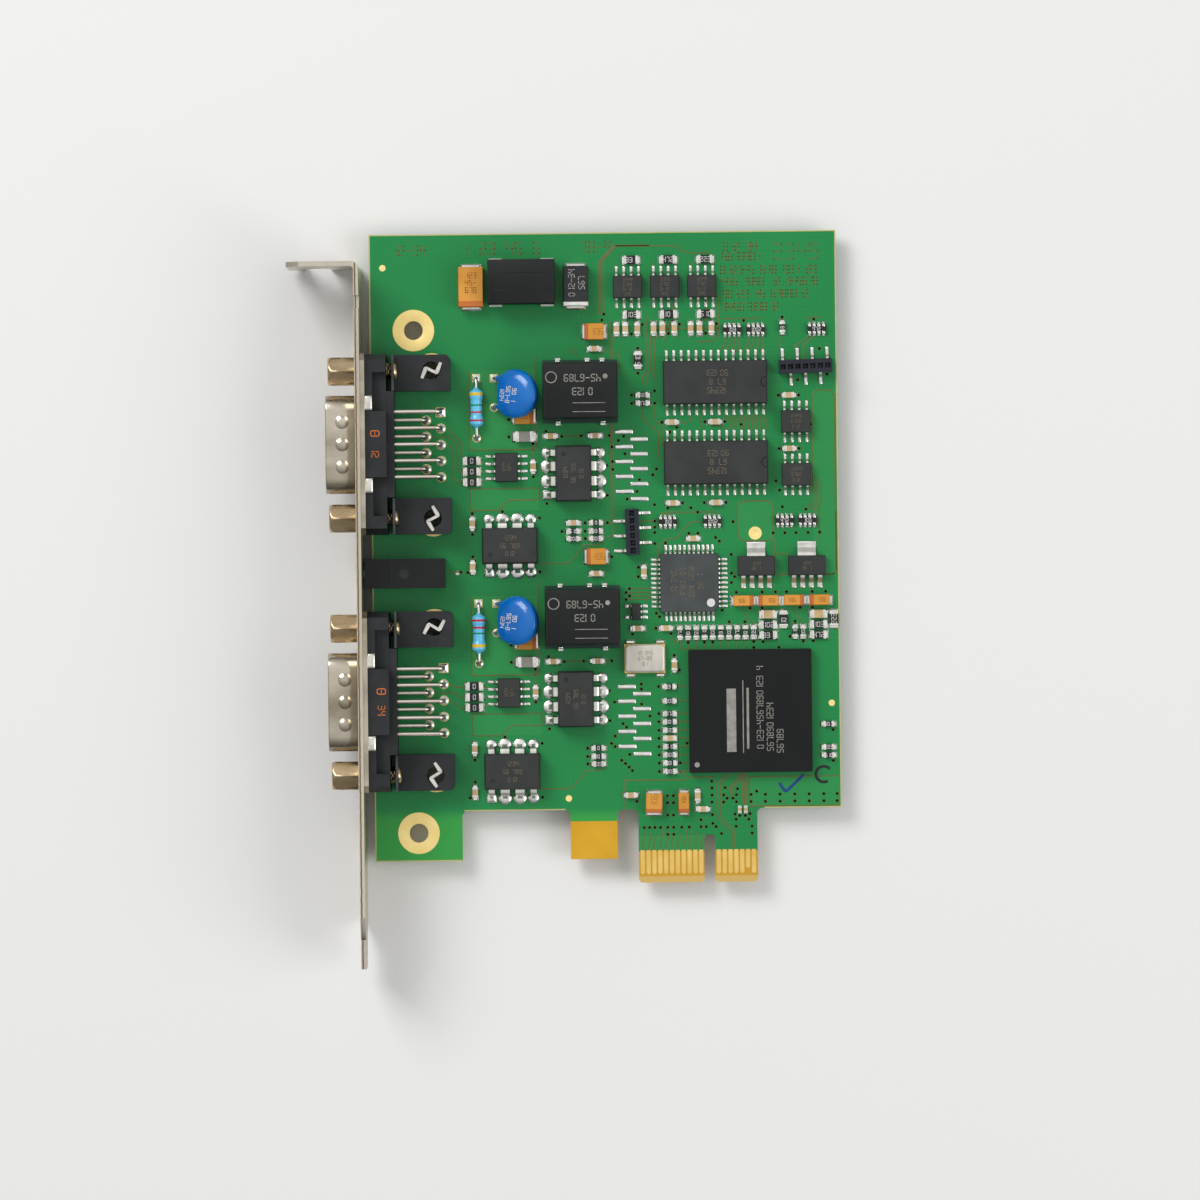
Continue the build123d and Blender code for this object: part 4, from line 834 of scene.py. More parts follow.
# %% [markdown]
# ## Moulded capacitors
# A tantalum capacitor is a small moulded brick with a printed band at its positive end and tinned
# strips that fold under both ends. The bricks are stacks with a draft, and each band is a thin
# cap over one end. The black one at the top has a pale band. A place is the middle, the way that
# the band points to in degrees, and the size.

# %% Capacitor bodies and bands
SLIM, WIDE, TALL = (3.45, 1.85, 1.6), (3.3, 2.85, 1.9), (6.9, 4.3, 2.9)
tantalum_places = [
    (6.2, 47.97, 0, SLIM), (10.5, 47.97, 180, SLIM), (14.8, 48.0, 0, SLIM), (19.2, 48.0, 180, SLIM),
    (-4.38, 13.62, -90, SLIM), (-18.8, 94.2, 180, WIDE), (-18.85, 55.8, 180, WIDE),
    (-30.95, 79.95, 0, WIDE), (-30.95, 41.45, 0, WIDE), (-9.45, 13.6, -92, WIDE),
    (-39.75, 102.0, -90, TALL),
]


def capacitor_body(batch, x, y, turn, size):
    """A brick that is widest at half its height, where its mould parts."""
    length, width, height = size
    levels = [(-0.06, 0.12), (0, height * 0.5 - 0.04), (0, height * 0.5 + 0.04), (-0.06, height - 0.1),
        (-0.16, height)]
    batch.add(stacked((x, y), (length / 2, width / 2), levels, 0.1, turn))


def capacitor_band(batch, x, y, turn, size, share):
    """A cap a hair larger than the body over the last share of its length, at the end turn points to."""
    length, width, height = size
    reach = length * share
    a = np.radians(turn)
    spot = np.array([x, y]) + np.array([np.cos(a), np.sin(a)]) * (length - reach) / 2
    middle = height * 0.5
    levels = [(-0.05, 0.2), (0.012, middle - 0.04), (0.012, middle + 0.04), (-0.045, height - 0.1)]
    levels.append((-0.14, height + 0.012))
    batch.add(stacked(spot, (reach / 2, width / 2), levels, 0.1, turn))


amber, bands = Batch(), Batch()
for x, y, turn, size in tantalum_places:
    capacitor_body(amber, x, y, turn, size)
    capacitor_band(bands, x, y, turn, size, 0.24 if size is not TALL else 0.17)
make_piece("tantalum_bodies", amber, tantalum, ("tantalum_capacitors",))
make_piece("tantalum_bands", bands, tantalum_band)
black_body, black_band = Batch(), Batch()
striped_place = (-21.87, 102.0, -90, TALL)
capacitor_body(black_body, *striped_place)
capacitor_band(black_band, *striped_place, 0.12)
make_piece("striped_body", black_body, connector_black, ("striped_capacitor",))
make_piece("striped_band", black_band, white_print)
foot_middle, foot_half = boxes_in("capacitor_terminals", 24)
foot_hill = [(0, -0.01), (0, 0.03), (-0.12, 0.14), (-0.26, 0.3)]
feet = Batch().add(stacked(foot_middle[:, :2], foot_half[:, :2] + 0.28, foot_hill, 0.18))
make_piece("capacitor_solder", feet, solder)

# %% [markdown]
# ## Dipped suppressors
# The blue suppressors are ceramic discs dipped in lacquer: a lens with a fat soft rim, flat at the
# side of the wires, where the lacquer runs a little way down both legs. Turning a superellipse
# gives the lens, (r/R)^2.6 + (h/H)^2.6 = 1. Its lower part is then pressed flat, z' = -a - b
# tanh((-a - z) / b), and the whole lens is leaned over, away from its wires. The frame's disc has
# flats, so it is replaced.


# %% Leaning discs with legs
DISC_RADIUS, DISC_HALF, DISC_LEAN = 4.2, 1.55, 60
ROUNDNESS = 2.6
FLAT_START, FLAT_DEPTH = 2.5, 0.7


def lean(points, degrees):
    """Turns points about the y axis: x' = x cos a + z sin a, z' = z cos a - x sin a."""
    a = np.radians(degrees)
    x, z = points[..., 0], points[..., 2]
    return np.stack([x * np.cos(a) + z * np.sin(a), points[..., 1], z * np.cos(a) - x * np.sin(a)], axis=-1)


def flatten_below(z):
    """Presses what lies below -FLAT_START into a flat at -(FLAT_START + FLAT_DEPTH)."""
    pressed = -FLAT_START - FLAT_DEPTH * np.tanh((-FLAT_START - z) / FLAT_DEPTH)
    return np.where(z < -FLAT_START, pressed, z)


def stand_disc(points, middle_y):
    """Lifts a shape drawn about the disc's middle, leans it and moves it to its place on the board, nudged as
    the two discs in the photo lean a little off the middle between their legs."""
    shape = points + np.array([0, 0, 3.2])
    nudge = np.where(middle_y > 60, (-0.15, -0.3), (-0.5, -0.5))
    return lean(shape, DISC_LEAN) + np.array([-34.85 + nudge[0], middle_y + nudge[1], 2.2])


t = np.linspace(-np.pi / 2, np.pi / 2, 23)
power = 2 / ROUNDNESS
bulge = DISC_HALF * np.sign(np.sin(t)) * np.abs(np.sin(t)) ** power
lens = np.stack([DISC_RADIUS * np.abs(np.cos(t)) ** power, bulge], axis=1)
lens[0, 0] = lens[-1, 0] = 0.05
discs, wires = Batch(), Batch()
LEG_X, LEG_YS = -36.0, (86.45, 81.44)
disc_middles = [sum(LEG_YS) / 2 + shift for shift in CHANNELS]
TAIL_Z = -2.67
leg_path = rounded_path([(0.0, TAIL_Z), (0.0, 1.3), (0.9, 2.1), (2.0, 2.7)], 0.5, 5)
coat_radius = np.interp(np.arange(8), [0, 1, 2, 4, 7], [0.34, 0.44, 0.6, 0.9, 1.2])
coat_reach = np.linspace(0.5, 2.2, 8)
coat_path = np.stack([coat_reach, np.interp(coat_reach, [0.5, 0.9, 2.2], [1.74, 2.1, 2.9])], axis=1)
for middle_y in disc_middles:
    shape = turned(lens, (0, 0, 0), 44, "x")
    wobble = 1 + 0.02 * np.sin(3 * np.arctan2(shape[..., 2], shape[..., 1]) + middle_y)
    shape[..., 1:] *= wobble[..., None]
    shape[..., 2] = flatten_below(shape[..., 2])
    discs.add(stand_disc(shape, middle_y))
    for side in (1, -1):
        root = (LEG_X, middle_y + side * 2.505, 0)
        section = np.stack([round_section(r, 14) for r in coat_radius])
        discs.add(carried(section, coat_path, root, (1.0, -0.12 * side)))
        wires.add(carried(round_section(0.3), leg_path, root, (1.0, -0.12 * side)))
make_piece("dipped_discs", discs, coated_blue, ("disc_suppressors",))
make_piece("disc_wires", wires, tinned, ("disc_leads",))

# %% [markdown]
# ## Axial resistors
# The body is a barrel with two fuller ends, turned about its own wire, and the colour bands are
# rings of its own profile a hair larger. The profile is one list of radii; a smooth step joins
# each end to the waist. The wires bend down into the board with a round corner.


# %% Barrels, bands and wires
BARREL_LENGTH = 6.2
BARREL_X, BARREL_Y, BARREL_Z = -39.05, 81.4, 1.15


def barrel_radius(s):
    """The radius at s along the barrel. The waist is 0.98 and the ends are 1.14, with a smooth step, 3 t^2 -
    2 t^3, from 1.2 to 1.9 mm from each end. The last 0.4 mm close like a circle, sqrt(1 - (1 - c)^2)."""
    from_end = np.minimum(s, BARREL_LENGTH - s)
    step = np.clip((from_end - 1.2) / 0.7, 0, 1)
    radius = 1.14 - 0.16 * step * step * (3 - 2 * step)
    closing = np.clip(from_end / 0.4, 0, 1)
    return radius * np.sqrt(np.clip(1 - (1 - closing) ** 2, 0.45, 1))


def along_y(points):
    """Lays a shape turned about z down along y: (x, y, z) becomes (x, z, -y), which is a quarter turn."""
    return np.stack([points[..., 0], points[..., 2], -points[..., 1]], axis=-1)


s = np.linspace(0, BARREL_LENGTH, 49)
barrels, axial_wires = Batch(), Batch()
band_batches = {}
band_sets = {
    0: (("yellow", 83.76, 0.72), ("green", 81.85, 0.42), ("red", 80.65, 0.42), ("red", 79.25, 0.42)),
    -38.5: (("red", 45.1, 0.5), ("red", 43.88, 0.5), ("green", 42.9, 0.42), ("yellow", 40.78, 0.76)),
}
collar = np.array([(0.05, -0.4), (0.33, -0.4), (0.4, -0.2), (0.58, -0.06)])
far_collar = (collar * (1, -1) + (0, BARREL_LENGTH))[::-1]
profile = np.concatenate([collar, np.stack([barrel_radius(s), s], 1), far_collar])
for shift in CHANNELS:
    start = BARREL_Y + shift - BARREL_LENGTH / 2
    spot = np.array([BARREL_X, start, BARREL_Z])
    barrels.add(along_y(turned(profile, (0, 0, 0), 28)) + spot)
    for colour, band_y, width in band_sets[shift]:
        u = np.linspace(band_y - start - width / 2, band_y - start + width / 2, 6)
        raised = np.array([-0.05, 0.015, 0.015, 0.015, 0.015, -0.05])
        ring = np.stack([barrel_radius(u) + raised, u], 1)
        band_batches.setdefault(colour, Batch()).add(along_y(turned(ring, (0, 0, 0), 28)) + spot)
    for pad_y, sign in ((86.5, 1), (76.25, -1)):
        end_y = BARREL_Y + shift + sign * BARREL_LENGTH / 2
        reach = sign * (pad_y + shift - end_y)
        bend = rounded_path([(-0.3, BARREL_Z), (reach, BARREL_Z), (reach, TAIL_Z)], 0.8, 6)
        axial_wires.add(carried(round_section(0.3), bend, (BARREL_X, end_y, 0), (0, sign)))
band_colours = {
    "yellow": ((240, 200, 44), (223, 186, 40)),
    "green": ((18, 140, 88), (16, 130, 81)),
    "red": ((200, 26, 50), (186, 23, 46)),
}
barrel_blue = finish("resistor lacquer", (104, 200, 238), (90, 188, 230), (0.16, 0.26), 0.0, 600, 0.2,
    300, coat=0.5)
make_piece("resistor_barrels", barrels, barrel_blue, ("axial_resistors",))
make_piece("resistor_wires", axial_wires, tinned, ("axial_resistor_leads",))
for colour, batch in band_batches.items():
    paint = finish(colour + " band", *band_colours[colour], (0.25, 0.35), 0.0, 600, 0.1, 300)
    make_piece("resistor_bands_" + colour, batch, paint)

# %% [markdown]
# ## Converters
# Each converter is a black moulded case on a small dark laminate. The case has soft edges and a
# shallow step at its foot, and the laminate shows solder where its pins stand.

# %% Converter cases
CASE_TOP = 8.0
cases, spots = Batch(), Batch()
middle, half = boxes_in("converter_cases", 2)
levels = [(-0.1, 1.42), (0, 1.6), (0, CASE_TOP - 0.3), (-0.1, CASE_TOP - 0.07), (-0.3, CASE_TOP)]
cases.add(stacked(middle[:, :2], half[:, :2], levels, 0.35, 0, 3))
make_piece("converter_shells", cases, converter_black, ("converter_cases",))
for shift in CHANNELS:
    for dx, side in ((-3.8, 1), (1.25, 1), (3.8, 1), (-3.8, -1), (3.85, -1)):
        x, y = -21.3 + dx, 84.0 + shift + side * 5.15
        spots.add(stacked((x, y), (0.42, 0.24), [(0, 1.39), (0, 1.43), (-0.06, 1.5), (-0.16, 1.54)], 0.2))
        hill = [(0, -0.01), (0, 0.03), (-0.1, 0.16), (-0.3, 0.42)]
        spots.add(stacked((x, y + side * 0.32), (0.62, 0.42), hill, 0.25))
make_piece("converter_solder", spots, solder)

# %% [markdown]
# ## Connector shells
# The nose of each connector is drawn steel: a D-shaped tube whose front edge is rolled round. Its
# outline has four corners, and each outline point is a corner's centre plus (R + g) times
# (cos a, sin a), so growing g moves the whole outline out or in. The skin runs along the outside,
# over the rolled lip and back along the inside, a hair off the solid tube. Three pressed dents on
# the tube grip the plug, and two clips fold over the housing behind the bracket. The folds are the
# shell's own steel, but they get the brighter tinned finish as a painted highlight on their round tops.

# %% D-shaped skins with a rolled lip
CONNECTOR_YS = (75.2, 31.5)
AXIS_Z = 6.3
CORNER_STEPS = 8


def d_ring(growth):
    """The D outline in (y, z), wide side up, counter-clockwise from the front, grown by the given amount."""
    half_height, wide, corner = 4.65, 8.8, 2.5
    lean_in = 2 * half_height * math.tan(math.radians(10))
    narrow = wide - lean_in
    corners = np.array([(wide, half_height), (-wide, half_height), (-narrow, -half_height),
        (narrow, -half_height)])
    edges = np.roll(corners, -1, axis=0) - corners
    edges /= np.linalg.norm(edges, axis=1, keepdims=True)
    outward = np.stack([edges[:, 1], -edges[:, 0]], axis=1)
    before = np.roll(outward, 1, axis=0)
    inset = (before + outward) / (1 + (before * outward).sum(axis=1, keepdims=True))
    centres = corners - corner * inset
    start = np.arctan2(before[:, 1], before[:, 0])
    turn = (np.arctan2(outward[:, 1], outward[:, 0]) - start) % (2 * np.pi)
    angle = start[:, None] + turn[:, None] * np.linspace(0, 1, CORNER_STEPS + 1)[None]
    around = np.stack([np.cos(angle), np.sin(angle)], axis=-1) * (corner + growth)
    return (centres[:, None] + around).reshape(-1, 2)


lip = [
    (0.03, -59.5), (0.03, -64.3), (0.01, -64.44), (-0.08, -64.54), (-0.25, -64.58), (-0.42, -64.54),
    (-0.51, -64.44), (-0.53, -64.3), (-0.53, -58.75),
]
dent = [(1.25, -0.04), (1.1, 0.03), (0.92, 0.12), (0.7, 0.2), (0.45, 0.26), (0.22, 0.29), (0.02, 0.3)]
skins, dents, folds = Batch(), Batch(), Batch()
for centre_y in CONNECTOR_YS:
    rings = np.stack([np.insert(d_ring(growth), 0, x, axis=1)[::-1] for growth, x in lip])
    skins.add(rings + np.array([0, centre_y, AXIS_Z]), ring=True)
    for dy in (-3.8, 0.0, 3.8):
        dents.add(turned(dent, (-61.7, centre_y + dy, AXIS_Z + 4.68), 24))
make_piece("shell_noses", skins, shell_steel)
clip_spots = [(-57.2, centre_y + side * 7.0) for centre_y in CONNECTOR_YS for side in (1, -1)]
clip_levels = [(0, 12.4), (0, 12.55), (-0.1, 12.62), (-0.3, 12.66)]
folds.add(stacked(clip_spots, (0.63, 1.18), clip_levels, 0.35, 0, 4))
make_piece("shell_dents", dents, shell_steel)
# The clip folds take the brighter tinned finish: a painted highlight on the shell's own steel.
make_piece("shell_clip_folds", folds, tinned)

# %% [markdown]
# ## Contact wires
# Nine round wires per connector leave the housing in two layers, bend down with a generous curve
# and go through the board. They are circles carried along a rounded path. In front, nine
# round-nosed pins are turned profiles along x. Each wire ends in a small hill of solder on a gold
# pad, and the pad of the first wire is square.

# %% Wires, front pins and their solder
PITCH = 2.77
WIRE_ROOT_X, LONG_PAD_X, SHORT_PAD_X = -54.0, -45.15, -47.65
wires, pins, joints, pads = Batch(), Batch(), Batch(), Batch()
wire_hill = [(0.76, -0.01), (0.76, 0.04), (0.7, 0.1), (0.56, 0.16), (0.44, 0.22), (0.36, 0.32)]
square_hill = [(0, -0.01), (0, 0.04), (-0.08, 0.1), (-0.25, 0.17), (-0.4, 0.3)]
pad_levels = [(0, -0.01), (0, 0.02), (-0.02, 0.03)]
round_pad = [(0.84, -0.01), (0.84, 0.02), (0.82, 0.03), (0.3, 0.03)]
through = []
nose = [(0.05, -63.7), (0.22, -63.62), (0.38, -63.42), (0.47, -63.15), (0.5, -62.8), (0.5, -58.55)]
for centre_y in CONNECTOR_YS:
    long_y = centre_y + (2 - np.arange(5)) * PITCH
    short_y = centre_y + (1.5 - np.arange(4)) * PITCH
    for pad_x, ys, z in ((LONG_PAD_X, long_y, AXIS_Z + 1.42), (SHORT_PAD_X, short_y, AXIS_Z - 1.42)):
        root = np.stack([np.full(len(ys), WIRE_ROOT_X), ys, np.zeros(len(ys))], axis=1)
        reach = pad_x - WIRE_ROOT_X
        path = rounded_path([(0, z), (reach, z), (reach, TAIL_Z)], 1.1, 8)
        wires.add(carried(round_section(0.36), path, root, (1, 0)))
        places = np.stack([np.zeros(len(ys)), ys, np.full(len(ys), z)], axis=1)
        pins.add(turned(nose, places, 16, "x"))
        through += [(pad_x, y) for y in ys]
        for y in ys:
            if pad_x == LONG_PAD_X and y == ys[0]:
                joints.add(stacked((pad_x, y), (0.74, 0.74), square_hill, 0.08))
                pads.add(stacked((pad_x, y), (0.82, 0.82), pad_levels, 0.05))
            else:
                joints.add(turned(wire_hill, (pad_x, y, 0), 20))
                pads.add(turned(round_pad, (pad_x, y, 0), 20))
make_piece("connector_wires", wires, contact_wire, ("upper_contacts", "lower_contacts"))
make_piece("connector_pins", pins, plated_gold)

# %% [markdown]
# ## Jackscrews
# A jackscrew is a hexagon with its outer corners turned off at an angle. Its radius at each angle
# is the smaller of two shapes: the hexagon, half flats / cos(angle to the nearest flat), and the
# chamfer cone. Taking that minimum on a fine grid draws the curved edges that a real one has. The
# thread is a triangle wave, and one closed surface runs from the stud's end to the bore's floor.


# %% Hexagons, threads and bores
THREAD_PITCH = 0.635


def thread(radius, depth, angle, x):
    """Radius of a thread: the crest less depth times a triangle wave of x / pitch - angle / 2 pi."""
    phase = (x / THREAD_PITCH - angle / (2 * np.pi)) % 1
    return radius - depth * np.abs(2 * phase - 1)


def jackscrew(y):
    """Rows along x, from the stud's end over the hexagon to the floor of the bore, about the axis at y."""
    angle = np.arange(72) * np.pi / 36
    from_flat = (angle + np.pi / 6) % (np.pi / 3) - np.pi / 6
    hexagon = 2.375 / np.cos(from_flat)
    rows = []
    x = np.linspace(-52.4, -59.4, 78)
    stud = np.stack([thread(1.45, 0.16, angle, v) for v in x])
    stud[0] = np.minimum(stud[0], 1.2)
    rows.append((x, stud))
    seat, front = -59.46, -64.16
    from_seat = seat - np.array([0, 0, 0.2, 2.3])
    to_front = front + np.array([0.7, 0.5, 0.35, 0.2, 0.1, 0])
    cone = np.array([1.4, 2.45, 2.9, 2.9, 2.9, 2.62, 2.5, 2.4, 2.33, 2.2])
    rows.append((np.concatenate([from_seat, to_front]), np.minimum(hexagon[None], cone[:, None])))
    bore_x = np.linspace(front, front + 3.6, 36)
    bore = np.stack([2.6 - thread(1.3, 0.12, -angle, v) for v in bore_x])
    bore = np.minimum(bore, 1.35)
    bore[0] = 1.42
    rows.append((bore_x, bore))
    radius = np.concatenate([row[1] for row in rows])
    along = np.broadcast_to(np.concatenate([row[0] for row in rows])[:, None], radius.shape)
    points = np.stack([along, y + radius * np.cos(angle), AXIS_Z + radius * np.sin(angle)], axis=-1)
    return points[:, ::-1]


screws = Batch()
for centre_y in CONNECTOR_YS:
    for side in (1, -1):
        screws.add(jackscrew(centre_y + side * 12.495))
make_piece("jackscrew_bodies", screws, screw_nickel, ("jackscrews",))

# %% [markdown]
# ## Board locks
# A board lock is a strip of thin tinned metal, folded like a Z so that its two arms lie over the
# foot and its blade goes down through the board, where it snaps. The strip runs along a path with
# round corners. Its section is a rectangle with cut corners, set across the path, and it gets
# narrower towards the middle and at both ends. Each lock in the photo is turned by its own angle.


# %% Folded strips
def plan_strip(path, width, low, high):
    """A strip that turns in plan: the path plus u times its left normal, with (u, z) running round each
    section."""
    path, width = np.asarray(path), np.asarray(width)
    tangent = np.gradient(path, axis=0)
    tangent /= np.linalg.norm(tangent, axis=1, keepdims=True)
    left = np.stack([-tangent[:, 1], tangent[:, 0]], axis=1)
    section = np.array([flat_section(w, high - low, 0.05) for w in width])
    plan = path[:, None] + section[..., :1] * left[:, None]
    return np.concatenate([plan, section[..., 1:] + (low + high) / 2], axis=-1)


def in_plan(points, centre, degrees):
    """Turns points about z and moves them: x' = x cos a - y sin a, y' = x sin a + y cos a."""
    a = np.radians(degrees)
    x, y, z = np.moveaxis(points, -1, 0)
    moved_x = x * np.cos(a) - y * np.sin(a) + centre[0]
    moved_y = x * np.sin(a) + y * np.cos(a) + centre[1]
    return np.stack([moved_x, moved_y, z], axis=-1)


LOCK_X, LOCK_OFFSET, FOOT_TOP = -46.6, 12.6, 4.2
zigzag = rounded_path([(-0.05, 2.1), (0.9, 0.45), (-0.9, -0.45), (0.05, -2.1)], 0.32, 5)
far = np.abs(np.linspace(-1, 1, len(zigzag)))
strip_width = np.where(far > 0.99, 0.56, np.where(far > 0.35, 0.74, 0.56))
locks = Batch()
lock_spots = [(LOCK_X, centre_y + side * LOCK_OFFSET) for centre_y in CONNECTOR_YS for side in (1, -1)]
for spot, turn in zip(lock_spots, (-52, 0, -58, 4)):
    locks.add(in_plan(plan_strip(zigzag, strip_width, FOOT_TOP + 0.01, FOOT_TOP + 0.34), spot, turn))
    locks.add(stacked(spot, (0.8, 0.17), [(0, -1.75), (0, FOOT_TOP + 0.1)], 0.05, turn + 25))
make_piece("board_lock_strips", locks, tinned, ("board_locks",))

# %% [markdown]
# ## The light
# The lens is a small dome in front of the bracket. Its profile is a quarter circle on a short
# cylinder. On top of the holder sit the round mark of the mould's ejector pin and a low rib.

# %% Lens, ejector mark and rib
quarter = np.linspace(0, np.pi / 2, 9)
dome = [(0.95, -58.3)] + [(0.95 * max(math.cos(v), 0.04), -58.75 - 0.5 * math.sin(v)) for v in quarter]
lens_piece = Batch().add(turned(dome, (0, 53.25, 2.8), 24, "x")[:, :, ::-1])
make_piece("light_dome", lens_piece, lens_green, ("light_lens",))
ejector = [(0.82, 5.4), (0.82, 5.412), (0.76, 5.412), (0.68, 5.402), (0.02, 5.4015)]
mark = Batch().add(turned(ejector, (-51.6, 53.15, 0), 28))
mark.add(stacked((-53.9, 53.25), (0.07, 2.5), [(0, 5.3), (0, 5.41)], 0.02))
make_piece("light_holder_marks", mark, connector_black)

# %% [markdown]
# ## Solder of the wires
# Every wire that goes through the board has a ring of solder round it on the component side and
# a small cone on the other side, where the tail comes out. The gold pad shows as a thin rim round
# the solder. Square pads mark first pins.

# %% Joints on both faces
cone_under = [(0.3, -2.55), (0.34, -2.35), (0.5, -1.95), (0.72, -1.66), (0.8, -1.6), (0.8, 0.01 - BOARD)]
flat_ring = [(0.64, -0.01), (0.64, 0.04), (0.56, 0.1), (0.4, 0.18), (0.3, 0.28)]
pad_profile = [(0.72, -0.01), (0.72, 0.02), (0.7, 0.03), (0.2, 0.03)]
for shift in CHANNELS:
    first = [(BARREL_X, 86.5 + shift), (LEG_X, LEG_YS[0] + shift)]
    second = [(BARREL_X, 76.25 + shift, 0), (LEG_X, LEG_YS[1] + shift, 0)]
    joints.add(stacked(first, (0.6, 0.6), [(0, -0.01), (0, 0.04), (-0.08, 0.1), (-0.28, 0.18)], 0.08))
    pads.add(stacked(first, (0.68, 0.68), pad_levels, 0.05))
    pads.add(turned(pad_profile, second, 20))
    joints.add(turned(flat_ring, second, 20))
    through += first + [spot[:2] for spot in second]
through += [(-42.6, 53.25), (-40.06, 53.25)]
joints.add(turned(cone_under, np.array([(x, y, 0) for x, y in through]), 16))
make_piece("wire_joints", joints, solder)
make_piece("wire_pads", pads, ring_gold)

# %% [markdown]
# ## Plated rings and test points
# The two mounting holes have broad gold rings on both faces, and so do the board-lock holes. A
# few small gold dots are test points and the aiming marks that assembly machines look for.

# %% Gold on the board
rings = Batch()
hole_spots = [(-49.67, 94.75, 0), (-49.67, 8.88, 0)]
sleeve = [
    (3.55, -0.01), (3.55, 0.035), (1.66, 0.035), (1.62, 0.02), (1.585, -0.05),
    (1.585, -1.52), (1.62, -1.59), (1.66, -1.605), (3.55, -1.605), (3.55, -1.56),
]
rings.add(turned(sleeve, hole_spots, 64), ring=True)
lock_holes = [(*spot, 0) for spot in lock_spots]
rings.add(turned([(3.05, -0.01), (3.05, 0.03), (1.6, 0.03), (1.6, -0.01)], lock_holes, 48), ring=True)
rings.add(turned([(1.56, -1.56), (1.6, -1.6), (2.4, -1.6), (2.4, -1.56)], lock_holes, 40), ring=True)
aiming_marks = [(-54.84, 105.46, 0), (21.1, 30.36, 0), (-24.0, 14.53, 0)]
rings.add(turned([(0.55, -0.01), (0.55, 0.03), (0.48, 0.035), (0.02, 0.035)], aiming_marks, 20))
test_point = [(1.12, -0.01), (1.12, 0.03), (0.5, 0.03), (0.45, 0.012), (0.02, 0.011)]
rings.add(turned(test_point, (8.34, 59.5, 0), 32))
make_piece("gold_rings", rings, ring_gold)

# %% [markdown]
# ## Solder balls and sockets
# The bridge chip rests on a square field of balls. Only the outer rows can be seen, so only they
# are made: a circle's arc, 0.31 cos v wide and 0.22 + 0.215 sin v high, turned at a 0.8 mm step.
# Each hole of the sockets has a bright spring, a small square with two blades.

# %% Ball rows and springs
row = (np.arange(25) - 12) * 0.8
edge = np.full(25, 9.75)
sides = [(row, edge), (row, -edge), (edge, row), (-edge, row)]
ring_spots = np.concatenate([np.stack(side, axis=1) for side in sides]) + (7.16, 29.2)
v = np.linspace(-1.35, 1.35, 7)
ball = np.stack([0.31 * np.cos(v), 0.22 + 0.215 * np.sin(v)], axis=1)
balls = Batch().add(turned(ball, np.insert(ring_spots, 2, 0, axis=1), 10))
make_piece("bridge_balls", balls, solder)
springs = Batch()
for centre, turn, holes in (((-12.65, 59.95), 91.6, 6), ((17.2, 87.9), 1.8, 7)):
    a = math.radians(turn)
    along = (np.arange(holes) - (holes - 1) / 2) * 1.27
    spots = np.array(centre) + along[:, None] * np.array([math.cos(a), math.sin(a)])
    springs.add(stacked(spots, (0.36, 0.36), [(0, 0.75), (0, 0.85), (-0.14, 0.9)], 0.05, turn))
    for side in (1, -1):
        offset = np.array([-math.sin(a), math.cos(a)]) * 0.33 * side
        springs.add(stacked(spots + offset, (0.22, 0.05), [(0, 0.8), (0, 1.5), (-0.02, 1.56)], 0.03, turn))
make_piece("socket_springs", springs, nut_zinc)

# %% [markdown]
# ## The oscillator and the input filter
# The oscillator is a gold-plated tray with a welded metal lid, whose edge steps down all round. The
# input filter is a black moulded block with a low raised frame on its top. Both stand on pads with
# a little solder at their feet.

# %% Lid, filter case and their pads
lid_middle = (-10.75, 38.3)
lid_levels = [(0.2, 0.98), (0.2, 1.16), (0.06, 1.3), (-0.12, 1.37), (-0.3, 1.385)]
lid = Batch().add(stacked(lid_middle, (3.2, 2.2), lid_levels, 0.4, 0, 4))
make_piece("oscillator_cap", lid, lid_metal, ("oscillator_lid",))
feet = Batch()
tray_feet = [(-13.2, 41.15), (-8.1, 41.15), (-13.2, 35.45), (-8.1, 35.45)]
feet.add(stacked(tray_feet, (0.88, 0.42), [(0, -0.01), (0, 0.03), (-0.12, 0.14), (-0.26, 0.5)], 0.12))
middle, half = boxes_in("input_filter_terminals", 2)
filter_hill = [(0, -0.01), (0, 0.03), (-0.05, 0.12), (-0.1, 0.2)]
feet.add(stacked(middle[:, :2], half[:, :2] + 0.06, filter_hill, 0.05))
make_piece("small_pads", feet, solder)
case = Batch()
case_levels = [(-0.15, 0.42), (0, 0.6), (0, 5.3), (-0.08, 5.45), (-0.2, 5.5)]
case.add(stacked((-31.15, 102.75), (5.7, 3.8), case_levels, 0.25, 0, 3))
frame_levels = [(0, 5.48), (0, 5.54), (-0.05, 5.56)]
case.add(stacked([(-36.0, 102.75), (-26.3, 102.75)], (0.09, 1.6), frame_levels, 0, 0, 0))
case.add(stacked([(-31.15, 101.2), (-31.15, 104.3)], (4.8, 0.09), frame_levels, 0, 0, 0))
make_piece("filter_case", case, converter_black, ("input_filter",))

# %% [markdown]
# ## Solder bars
# Between the isolators and the controllers lie twenty slim test bars, tinned copper in two
# columns. They are stacks of rounded rectangles with a shallow crown.

# %% Two columns of bars
left = (77.06, 74.5, 71.96, 69.4, 66.85, 33.5, 31.0, 28.44, 25.84, 23.28)
right = (75.76, 73.24, 70.7, 68.13, 65.56, 32.26, 29.7, 27.16, 24.6, 22.0)
spots = [(-13.89, y) for y in left] + [(-11.35, y) for y in right]
bars = Batch().add(stacked(spots, (1.55, 0.37), [(0, -0.01), (0, 0.04), (-0.08, 0.12), (-0.2, 0.16)], 0.16))
make_piece("test_bars", bars, solder)

# %% [markdown]
# ## Vias
# A via is a plated hole that joins tracks on different layers. Under the mask it shows as a
# brownish rim round a dark dot, and the dot is painted shade: a dark disc just over the face where
# the hole would lie in shadow. Each is two small turned stacks. Their places were read off the
# photo, in millimetres, and rows of like vias come from short lists.

